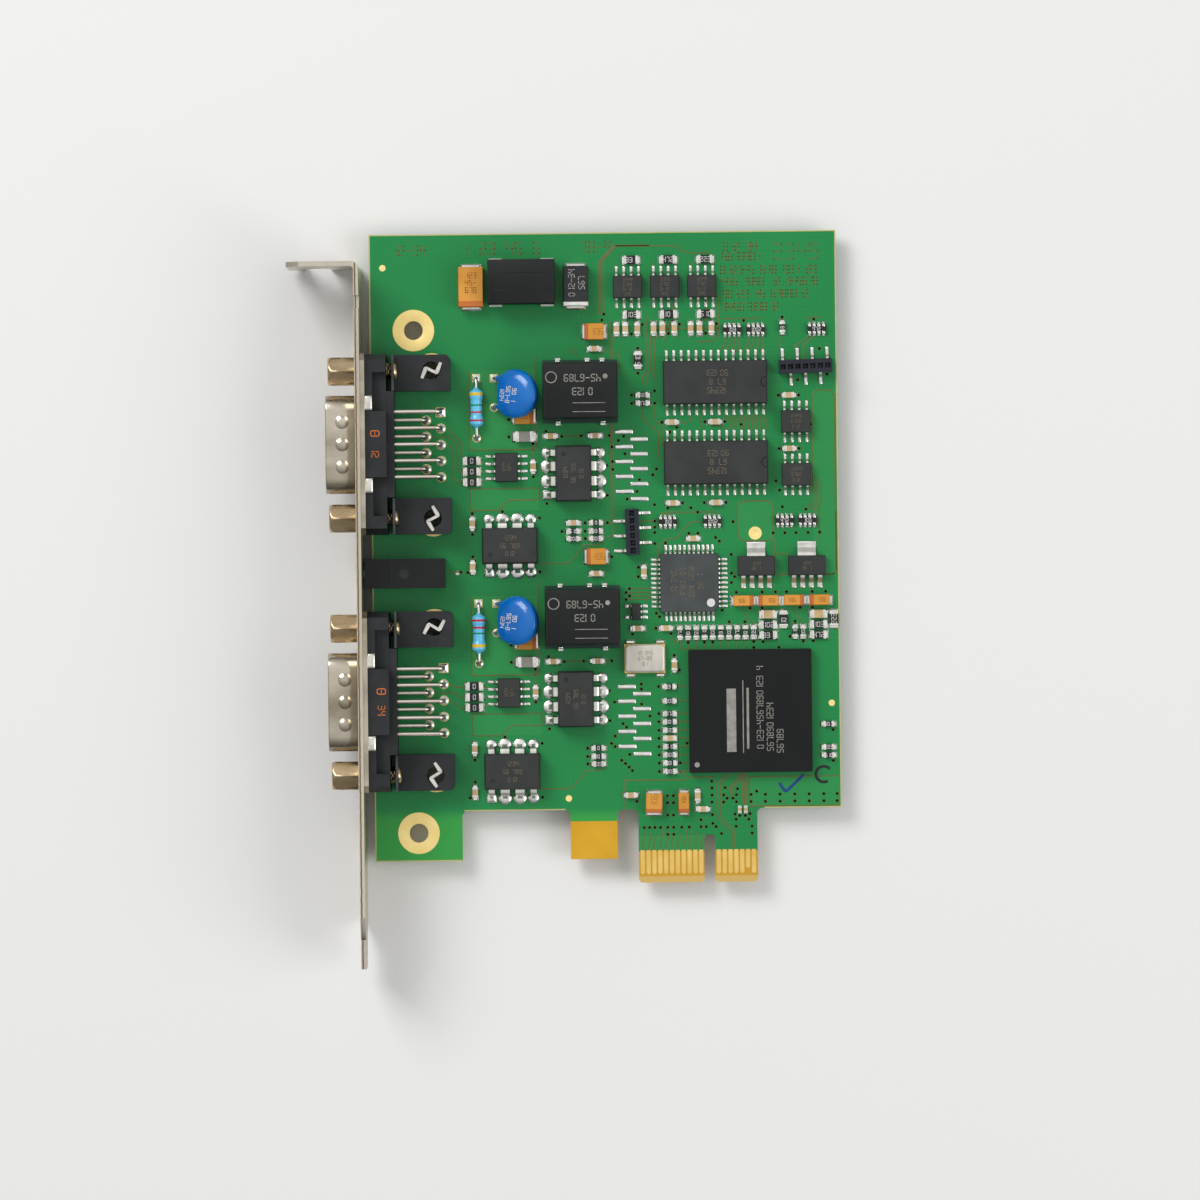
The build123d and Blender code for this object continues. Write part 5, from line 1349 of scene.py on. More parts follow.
# %% Where the vias are
def row_of(xs, ys):
    """All pairs of the given x and y values."""
    return [(x, y) for x in np.atleast_1d(xs) for y in np.atleast_1d(ys)]


vias = []
for shift in (0, 6.34, 12.68):
    vias += [(-10.55 + shift, 95.35), (-12.4 + shift, 93.75)]
vias += [
    (-17.1, 97.2), (-17.45, 96.2), (-11.37, 91.3), (-11.37, 87.05), (-12.5, 83.3), (-12.5, 81.9),
    (-8.58, 84.0), (-8.58, 81.9), (13.35, 96.35), (6.78, 95.85), (18.75, 95.96), (18.4, 90.9),
    (19.67, 90.9), (20.9, 86.5), (12.56, 83.0), (16.03, 83.0), (12.6, 73.9), (16.0, 73.9), (18.0, 78.0),
    (15.9, 85.6), (12.0, 68.4), (12.6, 66.8), (13.04, 63.95), (17.05, 63.5), (-7.4, 78.6), (-4.86, 77.7),
    (-0.05, 78.6), (3.36, 78.6), (-6.05, 76.9), (6.14, 78.1), (-4.03, 64.8), (-0.3, 64.8), (3.4, 64.8),
    (-8.8, 64.55), (-6.54, 63.95), (-2.6, 63.95), (-1.44, 63.2), (-8.4, 70.66), (-9.05, 69.66),
]
channel_vias = [
    (-33.55, 79.36), (-33.55, 76.4), (-27.2, 77.3), (-24.5, 76.4), (-21.2, 76.46), (-16.4, 76.46),
    (-29.46, 75.2), (-29.46, 69.55), (-16.87, 71.35), (-16.83, 66.25), (-27.18, 64.95), (-28.46, 62.5),
    (-34.8, 63.65), (-39.95, 59.8), (-39.95, 56.0), (-40.85, 53.3), (-28.5, 53.3), (-20.7, 61.56),
    (-20.7, 60.16), (-20.7, 58.9),
]
vias += [(x, y + shift) for x, y in channel_vias for shift in CHANNELS]
vias += [
    (-13.93, 76.3), (-14.84, 75.6), (-15.97, 74.5), (-13.75, 73.3), (-15.9, 72.0), (-15.85, 70.66),
    (-11.33, 68.84), (-11.77, 66.85), (-13.46, 65.56), (-39.95, 63.4), (-24.67, 60.16), (-16.9, 61.57),
    (-16.2, 55.74), (-11.66, 53.88), (-11.7, 52.28), (-13.24, 50.24), (-13.82, 49.62), (-13.25, 49.03),
    (-13.84, 48.4), (-8.79, 61.75), (-8.79, 60.7), (-8.82, 59.8), (-8.82, 57.9), (-8.7, 46.0),
    (-8.15, 45.4), (-12.82, 42.5), (-8.79, 43.43), (4.58, 61.5), (1.57, 58.84), (2.2, 58.2), (-7.0, 58.0),
    (4.19, 55.9), (4.2, 52.7), (4.76, 52.1), (4.19, 51.1), (5.0, 49.43), (2.56, 46.4), (3.72, 44.38),
    (6.4, 44.38), (7.32, 46.7), (9.38, 46.7), (9.4, 49.43), (11.68, 49.43), (13.58, 49.43),
    (17.97, 49.43), (20.26, 49.43), (15.86, 46.7), (17.97, 46.7), (14.97, 44.38), (-6.26, 42.5),
    (-3.34, 40.93), (-0.55, 40.93), (0.87, 40.93), (7.87, 40.95), (9.48, 40.95), (7.87, 39.97),
    (12.16, 39.97), (14.07, 41.78), (16.35, 40.95), (18.04, 40.99), (-5.74, 38.8), (-4.86, 36.24),
    (-3.0, 59.6), (-1.44, 59.6), (11.42, 59.5), (13.4, 59.5), (15.3, 59.5), (17.37, 59.5), (19.36, 59.55),
    (-42.0, 53.4),
]
vias += [
    (-11.4, 33.94), (-11.4, 33.08), (-16.0, 30.9), (-11.4, 30.5), (-9.98, 28.46), (-14.6, 27.2),
    (-14.0, 26.6), (-15.97, 25.1), (-16.6, 23.85), (-16.0, 23.3), (-13.5, 21.95), (-14.9, 20.95),
    (-14.25, 20.4), (-13.65, 19.77), (-13.1, 19.17), (-12.4, 13.9), (-4.89, 20.4), (-3.7, 23.75),
    (21.27, 25.8), (21.26, 20.5), (-1.48, 10.66), (-1.48, 9.45), (-0.58, 9.45), (2.7, 16.07),
    (2.45, 14.83), (3.03, 14.27), (2.43, 13.63), (4.04, 14.27), (4.83, 15.87), (4.63, 14.84),
    (4.61, 13.65), (4.35, 11.54), (5.15, 11.28), (6.11, 11.28), (6.93, 11.6), (4.52, 10.67), (6.7, 10.66),
    (4.52, 9.46), (7.24, 9.46), (7.24, 8.27), (8.09, 15.4), (0.44, 17.2), (0.46, 16.04), (0.46, 14.83),
    (0.44, 13.63), (0.5, 11.5), (0.53, 10.0), (1.1, 9.46), (2.0, 8.25),
]
vias += [(-8.48, y) for y in (33.47, 28.84, 27.45, 26.0, 24.63, 23.2, 21.8, 20.4, 18.97)]
vias += row_of((7.12, 9.57, 12.08, 14.6, 17.05, 19.56, 21.83), (14.86, 13.66))
vias += row_of((-7.16, -6.15), (14.8, 13.6, 11.5, 8.2))
vias += [(x, 9.41) for x in (-11.17, -10.27, -9.37, -8.4, -7.16, -6.15, -4.77, -3.49)]
vias = np.array(vias)
print("vias:", len(vias))

# %% Rims and painted hole shade on both faces
places = np.insert(vias, 2, 0, axis=1)
rims, hole_shades = Batch(), Batch()
rims.add(turned([(0.33, -0.01), (0.31, 0.022), (0.2, 0.026), (0.02, 0.02)], places, 12))
rims.add(turned([(0.02, -1.59), (0.22, -1.596), (0.34, -1.592), (0.36, -1.56)], places, 12))
# Painted shade: dark discs just over each face where the via holes would be in shadow.
hole_shades.add(turned([(0.22, 0.0), (0.22, 0.03), (0.02, 0.03)], places, 10))
hole_shades.add(turned([(0.02, -1.6), (0.21, -1.6), (0.21, -1.57)], places, 10))
make_piece("via_rims", rims, via_rim)
make_piece("via_hole_shades", hole_shades, hole_shade_finish)

# %% [markdown]
# ## Copper tracks
# Tracks are thin copper ribbons under the mask. They read as slightly raised, slightly browner
# lines. Each ribbon has a trapezoid section, and its sides are moved out along the mean of the
# neighbouring runs' normals, divided by the cosine of half the corner, so its width stays even
# round every corner.


# %% Ribbons and arcs
def ribbon(batch, points, width=0.2, top=0.022, face=1):
    """One track: at each corner the mitre is (n1 + n2) / (1 + n1 . n2) times half the width. A point that
    repeats the one before it is left out, because it gives no direction."""
    points = np.asarray(points, float)
    moved = np.linalg.norm(np.diff(points, axis=0), axis=1) > 0.0001
    points = points[np.concatenate([[True], moved])]
    run = np.diff(points, axis=0)
    run /= np.linalg.norm(run, axis=1, keepdims=True)
    normal = np.stack([-run[:, 1], run[:, 0]], axis=1)
    before = np.concatenate([normal[:1], normal])
    after = np.concatenate([normal, normal[-1:]])
    mitre = (before + after) / np.maximum(1 + (before * after).sum(axis=1, keepdims=True), 0.3)
    section = np.array([(-0.5, -0.006), (-0.5, 0.006), (-0.38, top), (0.38, top), (0.5, 0.006),
        (0.5, -0.006)])[::-1]
    plan = points[:, None, :] + mitre[:, None, :] * section[None, :, :1] * width
    z = np.broadcast_to(section[None, :, 1], plan.shape[:2])
    rows = np.concatenate([plan, z[..., None]], axis=-1)
    if face < 0:
        rows[..., 2] = -BOARD - rows[..., 2]
        rows = rows[:, ::-1]
    batch.add(rows)


def arc(centre, radius, start, end, steps=8):
    """Points of a circle from one angle to another: centre + radius (cos a, sin a)."""
    a = np.radians(np.linspace(start, end, steps + 1))
    return [(centre[0] + radius * math.cos(v), centre[1] + radius * math.sin(v)) for v in a]


# %% [markdown]
# The tracks are lists of corner points, read off the photo where it shows them plainest. First come
# the ones by the connectors, and those that both channels share.

# %% Tracks of the two channels
lines = [
    [(-44.3, 77.9), (-43.9, 77.8), (-41.9, 76.0), (-41.6, 75.4), (-41.6, 73.2)],
    [(-46.8, 76.5), (-43.6, 76.5), (-42.4, 75.3), (-42.4, 70.9), (-42.0, 70.5), (-41.6, 70.5)],
    [(-44.3, 75.2), (-43.8, 75.0), (-43.1, 74.2), (-43.1, 69.5), (-42.3, 68.7), (-41.6, 68.7)],
    [(-44.6, 34.2), (-43.9, 34.1), (-42.5, 33.7), (-41.5, 33.7)],
    [(-46.8, 32.8), (-43.3, 32.8), (-42.2, 31.9), (-41.5, 31.9)],
    [(-44.6, 31.45), (-44.2, 31.4), (-43.2, 30.95), (-42.2, 30.1), (-41.5, 30.05)],
]
for shift in CHANNELS:
    shared = [
        [(-38.4, 72.36), (-37.4, 71.8), (-36.6, 71.8)],
        [(-38.4, 70.52), (-36.6, 70.52)],
        [(-38.4, 68.72), (-37.2, 69.3), (-36.6, 69.3)],
        [(-40.25, 67.6), (-40.25, 63.9), (-35.4, 63.9), (-33.6, 65.6), (-28.5, 65.6), (-28.5, 67.6),
            (-40.25, 67.6)],
        [(-40.3, 87.8), (-40.3, 74.2), (-28.9, 74.2), (-28.9, 89.9)],
        [(-28.8, 54.7), (-23.6, 54.7), (-21.7, 56.6), (-21.2, 57.7), (-18.4, 57.85), (-17.9, 58.2)],
        [(-29.46, 75.0), (-29.46, 72.7)],
        [(-24.9, 76.46), (-21.4, 76.46)],
        [(-17.4, 76.46), (-16.4, 76.46)],
    ]
    lines += [[(x, y + shift) for x, y in line] for line in shared]
print("tracks of the channels:", len(lines))

# %% Tracks across the board
for k in range(3):
    x, y = -17.1 - 0.45 * k, 108.75 + 0.1 * k
    lines.append([(x, 97.2), (x, 106.4 - 0.2 * k), (-14.9 - 0.2 * k, y), (-9.2, y)])
lines += [
    [(-4.0, 108.1), (-2.7, 107.5), (1.2, 107.5)],
    [(-9.2, 108.75), (-4.6, 108.75), (-4.0, 108.1)],
    [(-16.15, 96.0), (-16.15, 62.2)] + arc((-17.15, 62.2), 1.0, 0, -80),
    [(-15.8, 95.4), (-15.8, 60.4)] + arc((-17.3, 60.4), 1.5, 0, -80),
    [(-44.4, 53.4), (-42.0, 53.4)],
    [(-11.3, 60.7), (-8.8, 60.7)],
    [(-11.3, 57.9), (-8.8, 57.9)],
    [(-11.3, 61.75), (-8.8, 61.75)],
    [(-13.24, 50.24), (-9.6, 50.24)],
    [(-13.82, 49.6), (-9.6, 49.6)],
    [(-13.25, 49.0), (-9.6, 49.0)],
    [(-13.84, 48.4), (-9.6, 48.4)],
    [(-0.8, 61.5), (-2.6, 61.5), (-5.1, 58.8), (-6.9, 58.6), (-8.2, 57.3), (-8.2, 55.4), (-9.0, 54.6)],
    [(-7.8, 62.6), (-7.2, 63.2), (1.6, 63.2), (2.2, 62.6)],
    [(6.1, 46.9), (6.4, 45.8), (7.8, 44.1)],
    [(14.7, 46.9), (15.0, 45.9), (16.3, 44.2)],
    [(11.7, 55.9), (14.0, 55.9)],
    [(11.7, 58.4), (11.7, 52.4), (21.8, 52.4), (22.2, 52.8), (22.2, 63.0)],
    [(19.3, 64.0), (19.3, 58.2)],
    [(3.0, 18.5), (1.3, 16.8), (1.3, 11.0), (3.9, 8.4), (3.9, 5.7)],
    [(3.6, 18.5), (1.9, 16.8), (1.9, 11.2), (4.3, 8.7), (4.3, 5.7)],
    [(5.0, 18.5), (5.0, 17.6), (3.6, 16.3), (3.6, 14.5)],
    [(5.4, 18.5), (5.4, 17.4), (4.1, 16.2), (4.1, 15.0)],
    [(5.7, 18.5), (5.7, 13.2)],
    [(6.0, 18.5), (6.0, 13.2)],
    [(6.3, 18.5), (6.3, 13.2)],
    [(22.2, 17.9), (6.9, 17.9), (6.9, 13.0), (7.2, 12.7)],
    [(7.2, 12.9), (22.2, 12.9)],
    [(-5.0, 19.0), (-3.6, 17.9), (1.0, 17.9)],
    [(-14.4, 12.6), (-14.4, 17.5), (-3.9, 17.5)],
    [(-4.7, 40.9), (-5.4, 40.9), (-6.26, 42.0)],
    [(-9.8, 96.6), (-9.8, 87.6), (-10.6, 86.6), (-10.6, 85.2)],
    [(-3.6, 95.2), (-7.2, 95.2), (-9.2, 93.2), (-9.2, 87.4), (-9.8, 86.6), (-9.8, 85.0)],
    [(2.8, 94.6), (-6.6, 94.6), (-8.5, 92.8), (-8.5, 86.0)],
    [(-10.6, 83.4), (-10.6, 79.2), (-8.0, 77.0), (-8.0, 73.0), (-7.4, 72.4)],
    [(-8.6, 81.6), (-8.6, 79.0), (-7.4, 77.9), (-7.4, 74.4)],
    [(-7.0, 92.4), (-5.4, 96.0), (-5.4, 98.8)],
    [(0.5, 98.8), (0.5, 96.4), (-0.6, 95.6)],
    [(2.0, 100.6), (2.4, 100.1), (2.4, 93.3), (1.4, 92.35), (-1.2, 92.3)],
    [(-14.5, 86.8), (-14.5, 89.8), (-15.4, 90.8)],
    [(3.0, 96.2), (9.7, 96.2)],
    [(17.4, 96.2), (20.0, 96.2)],
    [(12.9, 93.6), (12.9, 90.8)],
    [(18.2, 93.1), (15.5, 91.4), (15.5, 90.8)],
    [(19.0, 93.1), (17.0, 91.6), (17.0, 88.9)],
    [(-23.1, 91.4), (-21.9, 90.4)],
    [(-16.7, 91.4), (-17.6, 90.4)],
]
print("tracks so far:", len(lines))

# %% [markdown]
# Neighbouring leads often have the same short track, moved on by one step, so a loop draws each
# row. A closed line round a field, as by the test point, is made of four arcs.

# %% Rows of like tracks
for k in range(11):
    x = 10.62 - 0.635 * k
    lines.append([(x - 0.64, 79.7), (x - 0.64, 79.3), (x, 78.6), (x, 77.3)])
lines += [
    [(-0.86, 79.95), (-0.83, 78.3), (-0.29, 77.45)],
    [(-2.52, 79.6), (-2.52, 78.9), (-3.1, 78.5), (-4.1, 78.45)],
    [(1.0, 77.9), (3.15, 77.8), (3.62, 77.3)],
]
for k in range(9):
    x = -4.72 + 1.4 * k
    lines.append([(x, 41.2), (x, 40.4 - 0.12 * abs(k - 4)), (-3.5 + 1.2 * k, 39.75)])
for y in (33.44, 31.0, 28.84, 27.45, 26.0, 24.63, 23.2, 21.8, 20.4, 18.97):
    lines.append([(-8.4, y), (-8.0, y)])
    lines.append([(-5.2, y), (-3.35, y)])
for x0 in (4.75, 8.8):
    for k in range(4):
        x = x0 + (k - 1.5) * 0.8
        lines.append([(x, 92.9), (x, 92.0 - 0.25 * k), (x - 0.6, 91.3 - 0.25 * k), (x - 0.6, 90.6)])
fine_lines = []
for k in range(5):
    x = 18.0 + 0.45 * k
    fine_lines.append([(x - 1.2, 69.0 + k * 0.1), (x, 67.6), (x, 64.6), (x - 0.8, 63.8), (x - 0.8, 63.2)])
field_top = arc((19.5, 82.6), 1.2, 180, 90) + arc((20.9, 82.6), 1.2, 90, 0)
lines.append([(18.3, 66.4), (18.3, 82.6)] + field_top + arc((21.1, 53.3), 1.0, 0, -90) + [(18.5, 52.3)])
for driver_x in (-13.0, -6.66, -0.32):
    for k in range(4):
        x = driver_x + (k - 1.5) * 1.27
        lines.append([(x, 105.3), (x, 105.9)])
for k in range(11):
    x, bend_y = -1.5 - k, 6.6 + 0.35 * (k % 3)
    lines.append([(x, 5.6), (x, bend_y), (x + 0.4, bend_y + 0.6), (x + 0.4, 8.2 + 0.3 * (k % 4))])
closed_field = []
for k, middle in enumerate([(10.2, 63.8), (6.6, 63.8), (6.6, 59.4), (10.2, 59.4)]):
    closed_field += arc(middle, 1.2, 90 * k, 90 * k + 90)
closed_field.append(closed_field[0])
tracks = Batch()
for some_lines, width in ((lines, 0.23), (fine_lines, 0.15), ([closed_field], 0.22)):
    for line in some_lines:
        ribbon(tracks, line, width)
make_piece("board_tracks", tracks, track)

# %% [markdown]
# The back isn't in the photo. It gets plain tracks that run and bend as they do on such boards.

# %% Tracks on the back
back_tracks = Batch()
for k in range(26):
    x, y = 20.0 - 1.15 * k, 96.0 - 2.1 * (k % 7)
    length = 22 + 9 * ((k * 5) % 4)
    knee = 3.0 + 1.5 * (k % 3)
    low = y - length - knee
    ribbon(back_tracks, [(x, y), (x, y - length), (x - knee, low), (x - knee, low - 14)], 0.2, face=-1)
for k in range(12):
    for y in (24.0 + 1.3 * k, 62.5 + 1.3 * k):
        track_line = [(-40.0, y), (-28.0 + k, y), (-26.0 + k, y + 2.0), (-12.0, y + 2.0)]
        ribbon(back_tracks, track_line, 0.2, face=-1)
make_piece("back_tracks", back_tracks, track)

# %% [markdown]
# ## Marks
# Chips and boards carry small printed rows. The rows here are plain numbers made of seven bars
# per digit, the way a clock shows them, so they give the right texture. Each
# digit is a list of bars in a cell one wide and two high, and a whole row becomes one array of
# bars that is scaled, turned and moved to its place. Every mark is a thin slab just over its face.

# %% Rows of plain digits
INK = 0.012
BARS = np.array([
    (0.5, 2, 0.5, 0), (1, 1.5, 0, 0.5), (1, 0.5, 0, 0.5), (0.5, 0, 0.5, 0), (0, 0.5, 0, 0.5),
    (0, 1.5, 0, 0.5), (0.5, 1, 0.5, 0),
])
DIGITS = {
    "0": [0, 1, 2, 3, 4, 5], "1": [1, 2], "2": [0, 1, 6, 4, 3], "3": [0, 1, 6, 2, 3],
    "4": [5, 6, 1, 2], "5": [0, 5, 6, 2, 3], "6": [0, 5, 6, 4, 2, 3], "7": [0, 1, 2],
    "8": [0, 1, 2, 3, 4, 5, 6], "9": [6, 5, 0, 1, 2, 3], "-": [6], " ": [],
}


def slab(z, thick=INK):
    """Levels of a thin mark on a face at height z."""
    return [(0, z - 0.01), (0, z + thick)]


def dot(radius, inner=0.02):
    """Profile of a round mark, or of a ring when the inner radius is given."""
    return [(radius, -0.01), (radius, INK), (inner, INK)]


def bars_of(text, x, y, height, turn, pen):
    """Middles and half sizes of a row's bars: a bar's cell place times height / 2, turned by the row's
    angle."""
    cells = np.concatenate([BARS[DIGITS[c]] + (1.6 * k, 0, 0, 0) for k, c in enumerate(text)])
    cells = (cells - ((1.6 * len(text) - 0.6) / 2, 1, 0, 0)) * height / 2
    c, s = math.cos(math.radians(turn)), math.sin(math.radians(turn))
    middle_x, middle_y = x + cells[:, 0] * c - cells[:, 1] * s, y + cells[:, 0] * s + cells[:, 1] * c
    return np.stack([middle_x, middle_y], axis=1), cells[:, 2:] + pen / 2


def print_row(batch, text, x, y, z, height, turn=0.0, pen=0.14, thick=INK):
    """One row of digits, its middle at (x, y), on a face at height z."""
    middle, half = bars_of(text, x, y, height, turn, pen)
    batch.add(stacked(middle, half, slab(z, thick), 0, turn, 0))


def print_block(batch, rows, x, y, z, height, turn, step, pen=0.12):
    """Several rows under each other, in the direction that the turned rows call down."""
    a = math.radians(turn - 90)
    for k, text in enumerate(rows):
        shift = (k - (len(rows) - 1) / 2) * step
        print_row(batch, text, x + shift * math.cos(a), y + shift * math.sin(a), z, height, turn, pen)


# %% [markdown]
# ## Numbers on the chip parts
# Resistors carry a white number along their length: a lone 0 on a bridge and three digits on the
# others. The places come from the boxes of the blocks, so each number sits on its own part.

# %% Resistors and networks
white_marks = Batch()
middle, half = boxes_in("chip_resistors", 54)
bridges = [(-39.94, y) for y in (72.36, 70.52, 68.72, 33.86, 32.02, 30.22)] + [(-18.83, 61.6),
    (-18.83, 23.1)]
values = ("103", "472", "101", "223", "510", "102", "331")
for k, (spot, size) in enumerate(zip(middle, half)):
    is_bridge = min(math.dist(spot[:2], place) for place in bridges) < 0.6
    turn = 0 if size[0] > size[1] else 90
    height = 0.62 * 2 * min(size[:2])
    text = "0" if is_bridge else values[k % 7]
    print_row(white_marks, text, *spot[:2], 2 * size[2], min(height, 0.8), turn, 0.11)
for k, (spot, size) in enumerate(zip(*boxes_in("resistor_networks", 7))):
    print_row(white_marks, ("103", "1002", "472")[k % 3], *spot[:2], 2 * size[2], 0.6, 0, 0.1)
make_piece("resistor_numbers", white_marks, white_print)

# %% [markdown]
# ## Laser marks on the packages
# A laser only roughens the surface, so its marks are faint and a little brown. Each family of
# packages gets a few rows, turned the way its chips are turned. The logic chip and the large chip
# have one round dot at their first corner.

# %% Rows on the chips
marks = Batch()


def mark_family(node, solids, rows, height, step, turn=None, shift=(0.0, 0.0)):
    """The same rows on each body of a node, along its length unless a turn is given."""
    for spot, size in zip(*boxes_in(node, solids)):
        way = turn if turn is not None else (0 if size[0] > size[1] else 90)
        top = 2 * size[2] + GAP_BELOW
        print_block(marks, rows, spot[0] + shift[0], spot[1] + shift[1], top, height, way, step,
            height * 0.13)


mark_family("driver_bodies", 3, ("12345", "6789", "0-12", "345"), 0.5, 0.82)
mark_family("memory_bodies", 2, ("12345", "6789", "012"), 0.55, 0.95)
mark_family("transceiver_bodies", 2, ("1234", "567"), 0.55, 0.95, 90)
mark_family("controller_bodies", 2, ("12345", "67 8", "90123"), 0.95, 1.5, 180, (0.4, 0.1))
mark_family("isolator_bodies", 4, ("1234", "56 789", "012"), 0.72, 1.35)
mark_family("regulator_bodies", 2, ("1234", "56 7"), 0.5, 0.85)
chip_rows = ("12 345", "6789 01", "234 5678", "90 1")
print_block(marks, chip_rows, chip_middle[0] - 0.4, chip_middle[1] + 0.2, 1.5, 0.85, 90, 1.5, 0.14)
make_piece("laser_marks", marks, laser_mark)

# %% [markdown]
# The large chip, the converters and the striped capacitor are printed in pale ink: rows of
# numbers, a dot at the first pin, an open ring and a few plain bars.

# %% Pale ink
pale = Batch()
bridge_top = solids_in("bridge_chip", 1)[0][:, 2].max()
for k, row in enumerate(("0123-4567890123 4", "5678901234", "56789")):
    print_row(pale, row, 8.79 + 1.69 * k, 21.6 + 0.96 * len(row) / 2, bridge_top, 1.05, 90, 0.14)
plain_bars = [(3.9, 27.6), (5.9, 28.2), (6.7, 27.9)]
pale.add(stacked(plain_bars, [(0.8, 5.4), (0.08, 6.2), (0.2, 5.2)], slab(bridge_top), 0.05))
pale.add(turned(dot(0.45), (-2.04, 20.07, bridge_top), 20))
for shift in CHANNELS:
    print_block(pale, ("0123", "45-6789"), -20.9, 85.0 + shift, CASE_TOP, 1.15, 180, 2.3, 0.17)
    pale.add(turned(dot(0.42), (-17.0, 86.4 + shift, CASE_TOP), 16))
    pale.add(turned(dot(1.0, 0.84) + [(0.84, -0.01)], (-26.2, 86.3 + shift, CASE_TOP), 28), ring=True)
    lines_at = [(-19.8, 80.4 + shift), (-19.8, 81.9 + shift)]
    pale.add(stacked(lines_at, (2.8, 0.06), slab(CASE_TOP, 0.01), 0, 0, 0))
print_block(pale, ("012-34", "567"), -21.7, 102.5, TALL[2], 1.0, 90, 1.7, 0.17)
make_piece("pale_marks", pale, pale_print)
chip_dot = Batch().add(turned(dot(0.7), (0.64, 47.7, 1.5), 24))
make_piece("logic_chip_dot", chip_dot, white_print)

# %% [markdown]
# Orange ink marks the connector housings with a rounded frame and a number that reads from the
# side. Tantalum bricks and the oscillator's lid have marks in a darker shade of their own colour.

# %% Orange, amber and lid marks
orange, amber_rows, lid_rows = Batch(), Batch(), Batch()
ring_levels = [(0, -0.01), (0, INK), (-0.18, INK), (-0.18, -0.01)]
housings = (("upper_housing", "12", -56.1), ("lower_housing", "34", -55.5))
for centre_y, (node, number, mark_x) in zip(CONNECTOR_YS, housings):
    block_top = solids_in(node, 1)[0][:, 2].max()
    frame_ring = stacked((mark_x, centre_y + 1.8), (0.8, 0.55), ring_levels, 0.4, 0, 4)
    orange.add(frame_ring + np.array([0, 0, block_top]), ring=True)
    orange.add(stacked((mark_x, centre_y + 1.8), (0.07, 0.4), slab(block_top), 0, 0, 0))
    print_row(orange, number, mark_x, centre_y - 1.45, block_top, 1.15, -90, 0.16)
make_piece("housing_marks", orange, orange_print)
print_block(amber_rows, ("123", "45-", "678"), -39.75, 102.7, TALL[2], 0.85, 0, 1.25, 0.14)
for x, y, turn, (length, width, height) in tantalum_places[:-1]:
    a = np.radians(turn)
    print_row(amber_rows, "106", x - 0.4 * math.cos(a), y - 0.4 * math.sin(a), height, 0.34 * width,
        turn % 180, 0.1)
make_piece("amber_marks", amber_rows, amber_mark)
print_block(lid_rows, ("12 345", "67-89", "01"), *lid_middle, lid_levels[-1][1], 0.6, 0, 0.95, 0.09)
make_piece("lid_marks", lid_rows, lid_mark)

# %% [markdown]
# ## Print on the leaning discs
# The print has to follow the lens. Each corner of a bar keeps its place in the disc's plane, and
# its distance from the plane becomes the lens's own height there, H (1 - (r/R)^2.6)^(1/2.6), plus
# a hair. After that it's leaned like the disc.

# %% Numbers on a curved face
disc_rows = Batch()
for middle_y in disc_middles:
    flat = Batch()
    for k, (text, u) in enumerate((("1234", -1.9), ("567-8", -0.7), ("90 1", 0.5))):
        print_row(flat, text, 0.1 * k, u, 0.0, 0.75, -8, 0.12)
    for grid in flat.points:
        u, v, w = grid.reshape(-1, 2, 4, 3).transpose(3, 0, 1, 2)
        r = np.clip(np.hypot(u, v) / DISC_RADIUS, 0, 0.99)
        out = DISC_HALF * (1 - r**ROUNDNESS) ** (1 / ROUNDNESS) + w + 0.02
        disc_rows.add(stand_disc(np.stack([-out, -u, v], axis=-1), middle_y))
make_piece("disc_marks", disc_rows, white_print)

# %% [markdown]
# ## Etched rows and the board's rim
# Rows of copper are etched under the mask and read as brown lines. They're plain numbers as well.
# Along the rim the mask stops just short of the cut, and a pale line of bare laminate shows. Two
# pen strokes near the right edge are ribbons too: a tick and a curve.

# %% Etched copper rows
etch = Batch()
for text, x, y, height in (
    ("12-34", -50.4, 108.4, 1.55), ("1 23 45 6", -34.6, 108.6, 1.9), ("78-9", -18.4, 108.7, 1.7),
    ("012 34", 6.3, 108.5, 1.25), ("5678901", 6.5, 106.8, 1.2), ("2345", 15.8, 107.6, 2.6),
    ("012345 678 901 23", 11.1, 104.5, 1.22), ("456 7890 12 345678", 11.3, 102.5, 1.15),
    ("90123 45 6789012", 10.5, 100.4, 1.15), ("3456789012", 7.95, 98.2, 1.22),
):
    print_row(etch, text, x, y, 0.0, height, 0, 0.17, 0.02)
make_piece("etched_rows", etch, etched)

# %% The pale rim
rim_line = Batch()
inset = 0.1
left, right, top = -57.15 + inset, 22.6 - inset, 111.15 - inset
shoulder, leg = 12.55 + inset, 4.05 + inset
ribbon(rim_line, [(left, leg), (left, top), (right, top), (right, shoulder), (9.4, shoulder)], 0.2, 0.008)
ribbon(rim_line, [(left, leg), (-42.25, leg)], 0.2, 0.008)
ribbon(rim_line, [(-41.9, shoulder), (-24.6, shoulder)], 0.2, 0.008)
rim_pale = finish("bare laminate rim", (172, 178, 104), (196, 184, 128), (0.4, 0.55), 0.0, 2400, 0.2, 500)
make_piece("board_rim", rim_line, rim_pale)

# %% Pen strokes
ink_blue = finish("blue pen", (16, 58, 112), (20, 72, 120), (0.35, 0.5), 0.0, 2400, 0.1, 500)
ink_black = finish("black pen", (22, 26, 24), (30, 38, 32), (0.35, 0.5), 0.0, 2400, 0.1, 500)
blue_strokes = Batch()
tick = rounded_path([(12.0, 16.8), (13.0, 15.2), (16.2, 18.2)], 0.6)
ribbon(blue_strokes, tick, 0.55, 0.03)
make_piece("pen_tick", blue_strokes, ink_blue)
black_strokes = Batch()
ribbon(black_strokes, arc((19.6, 18.2), 1.35, 40, 300, 16), 0.5, 0.03)
make_piece("pen_curve", black_strokes, ink_black)

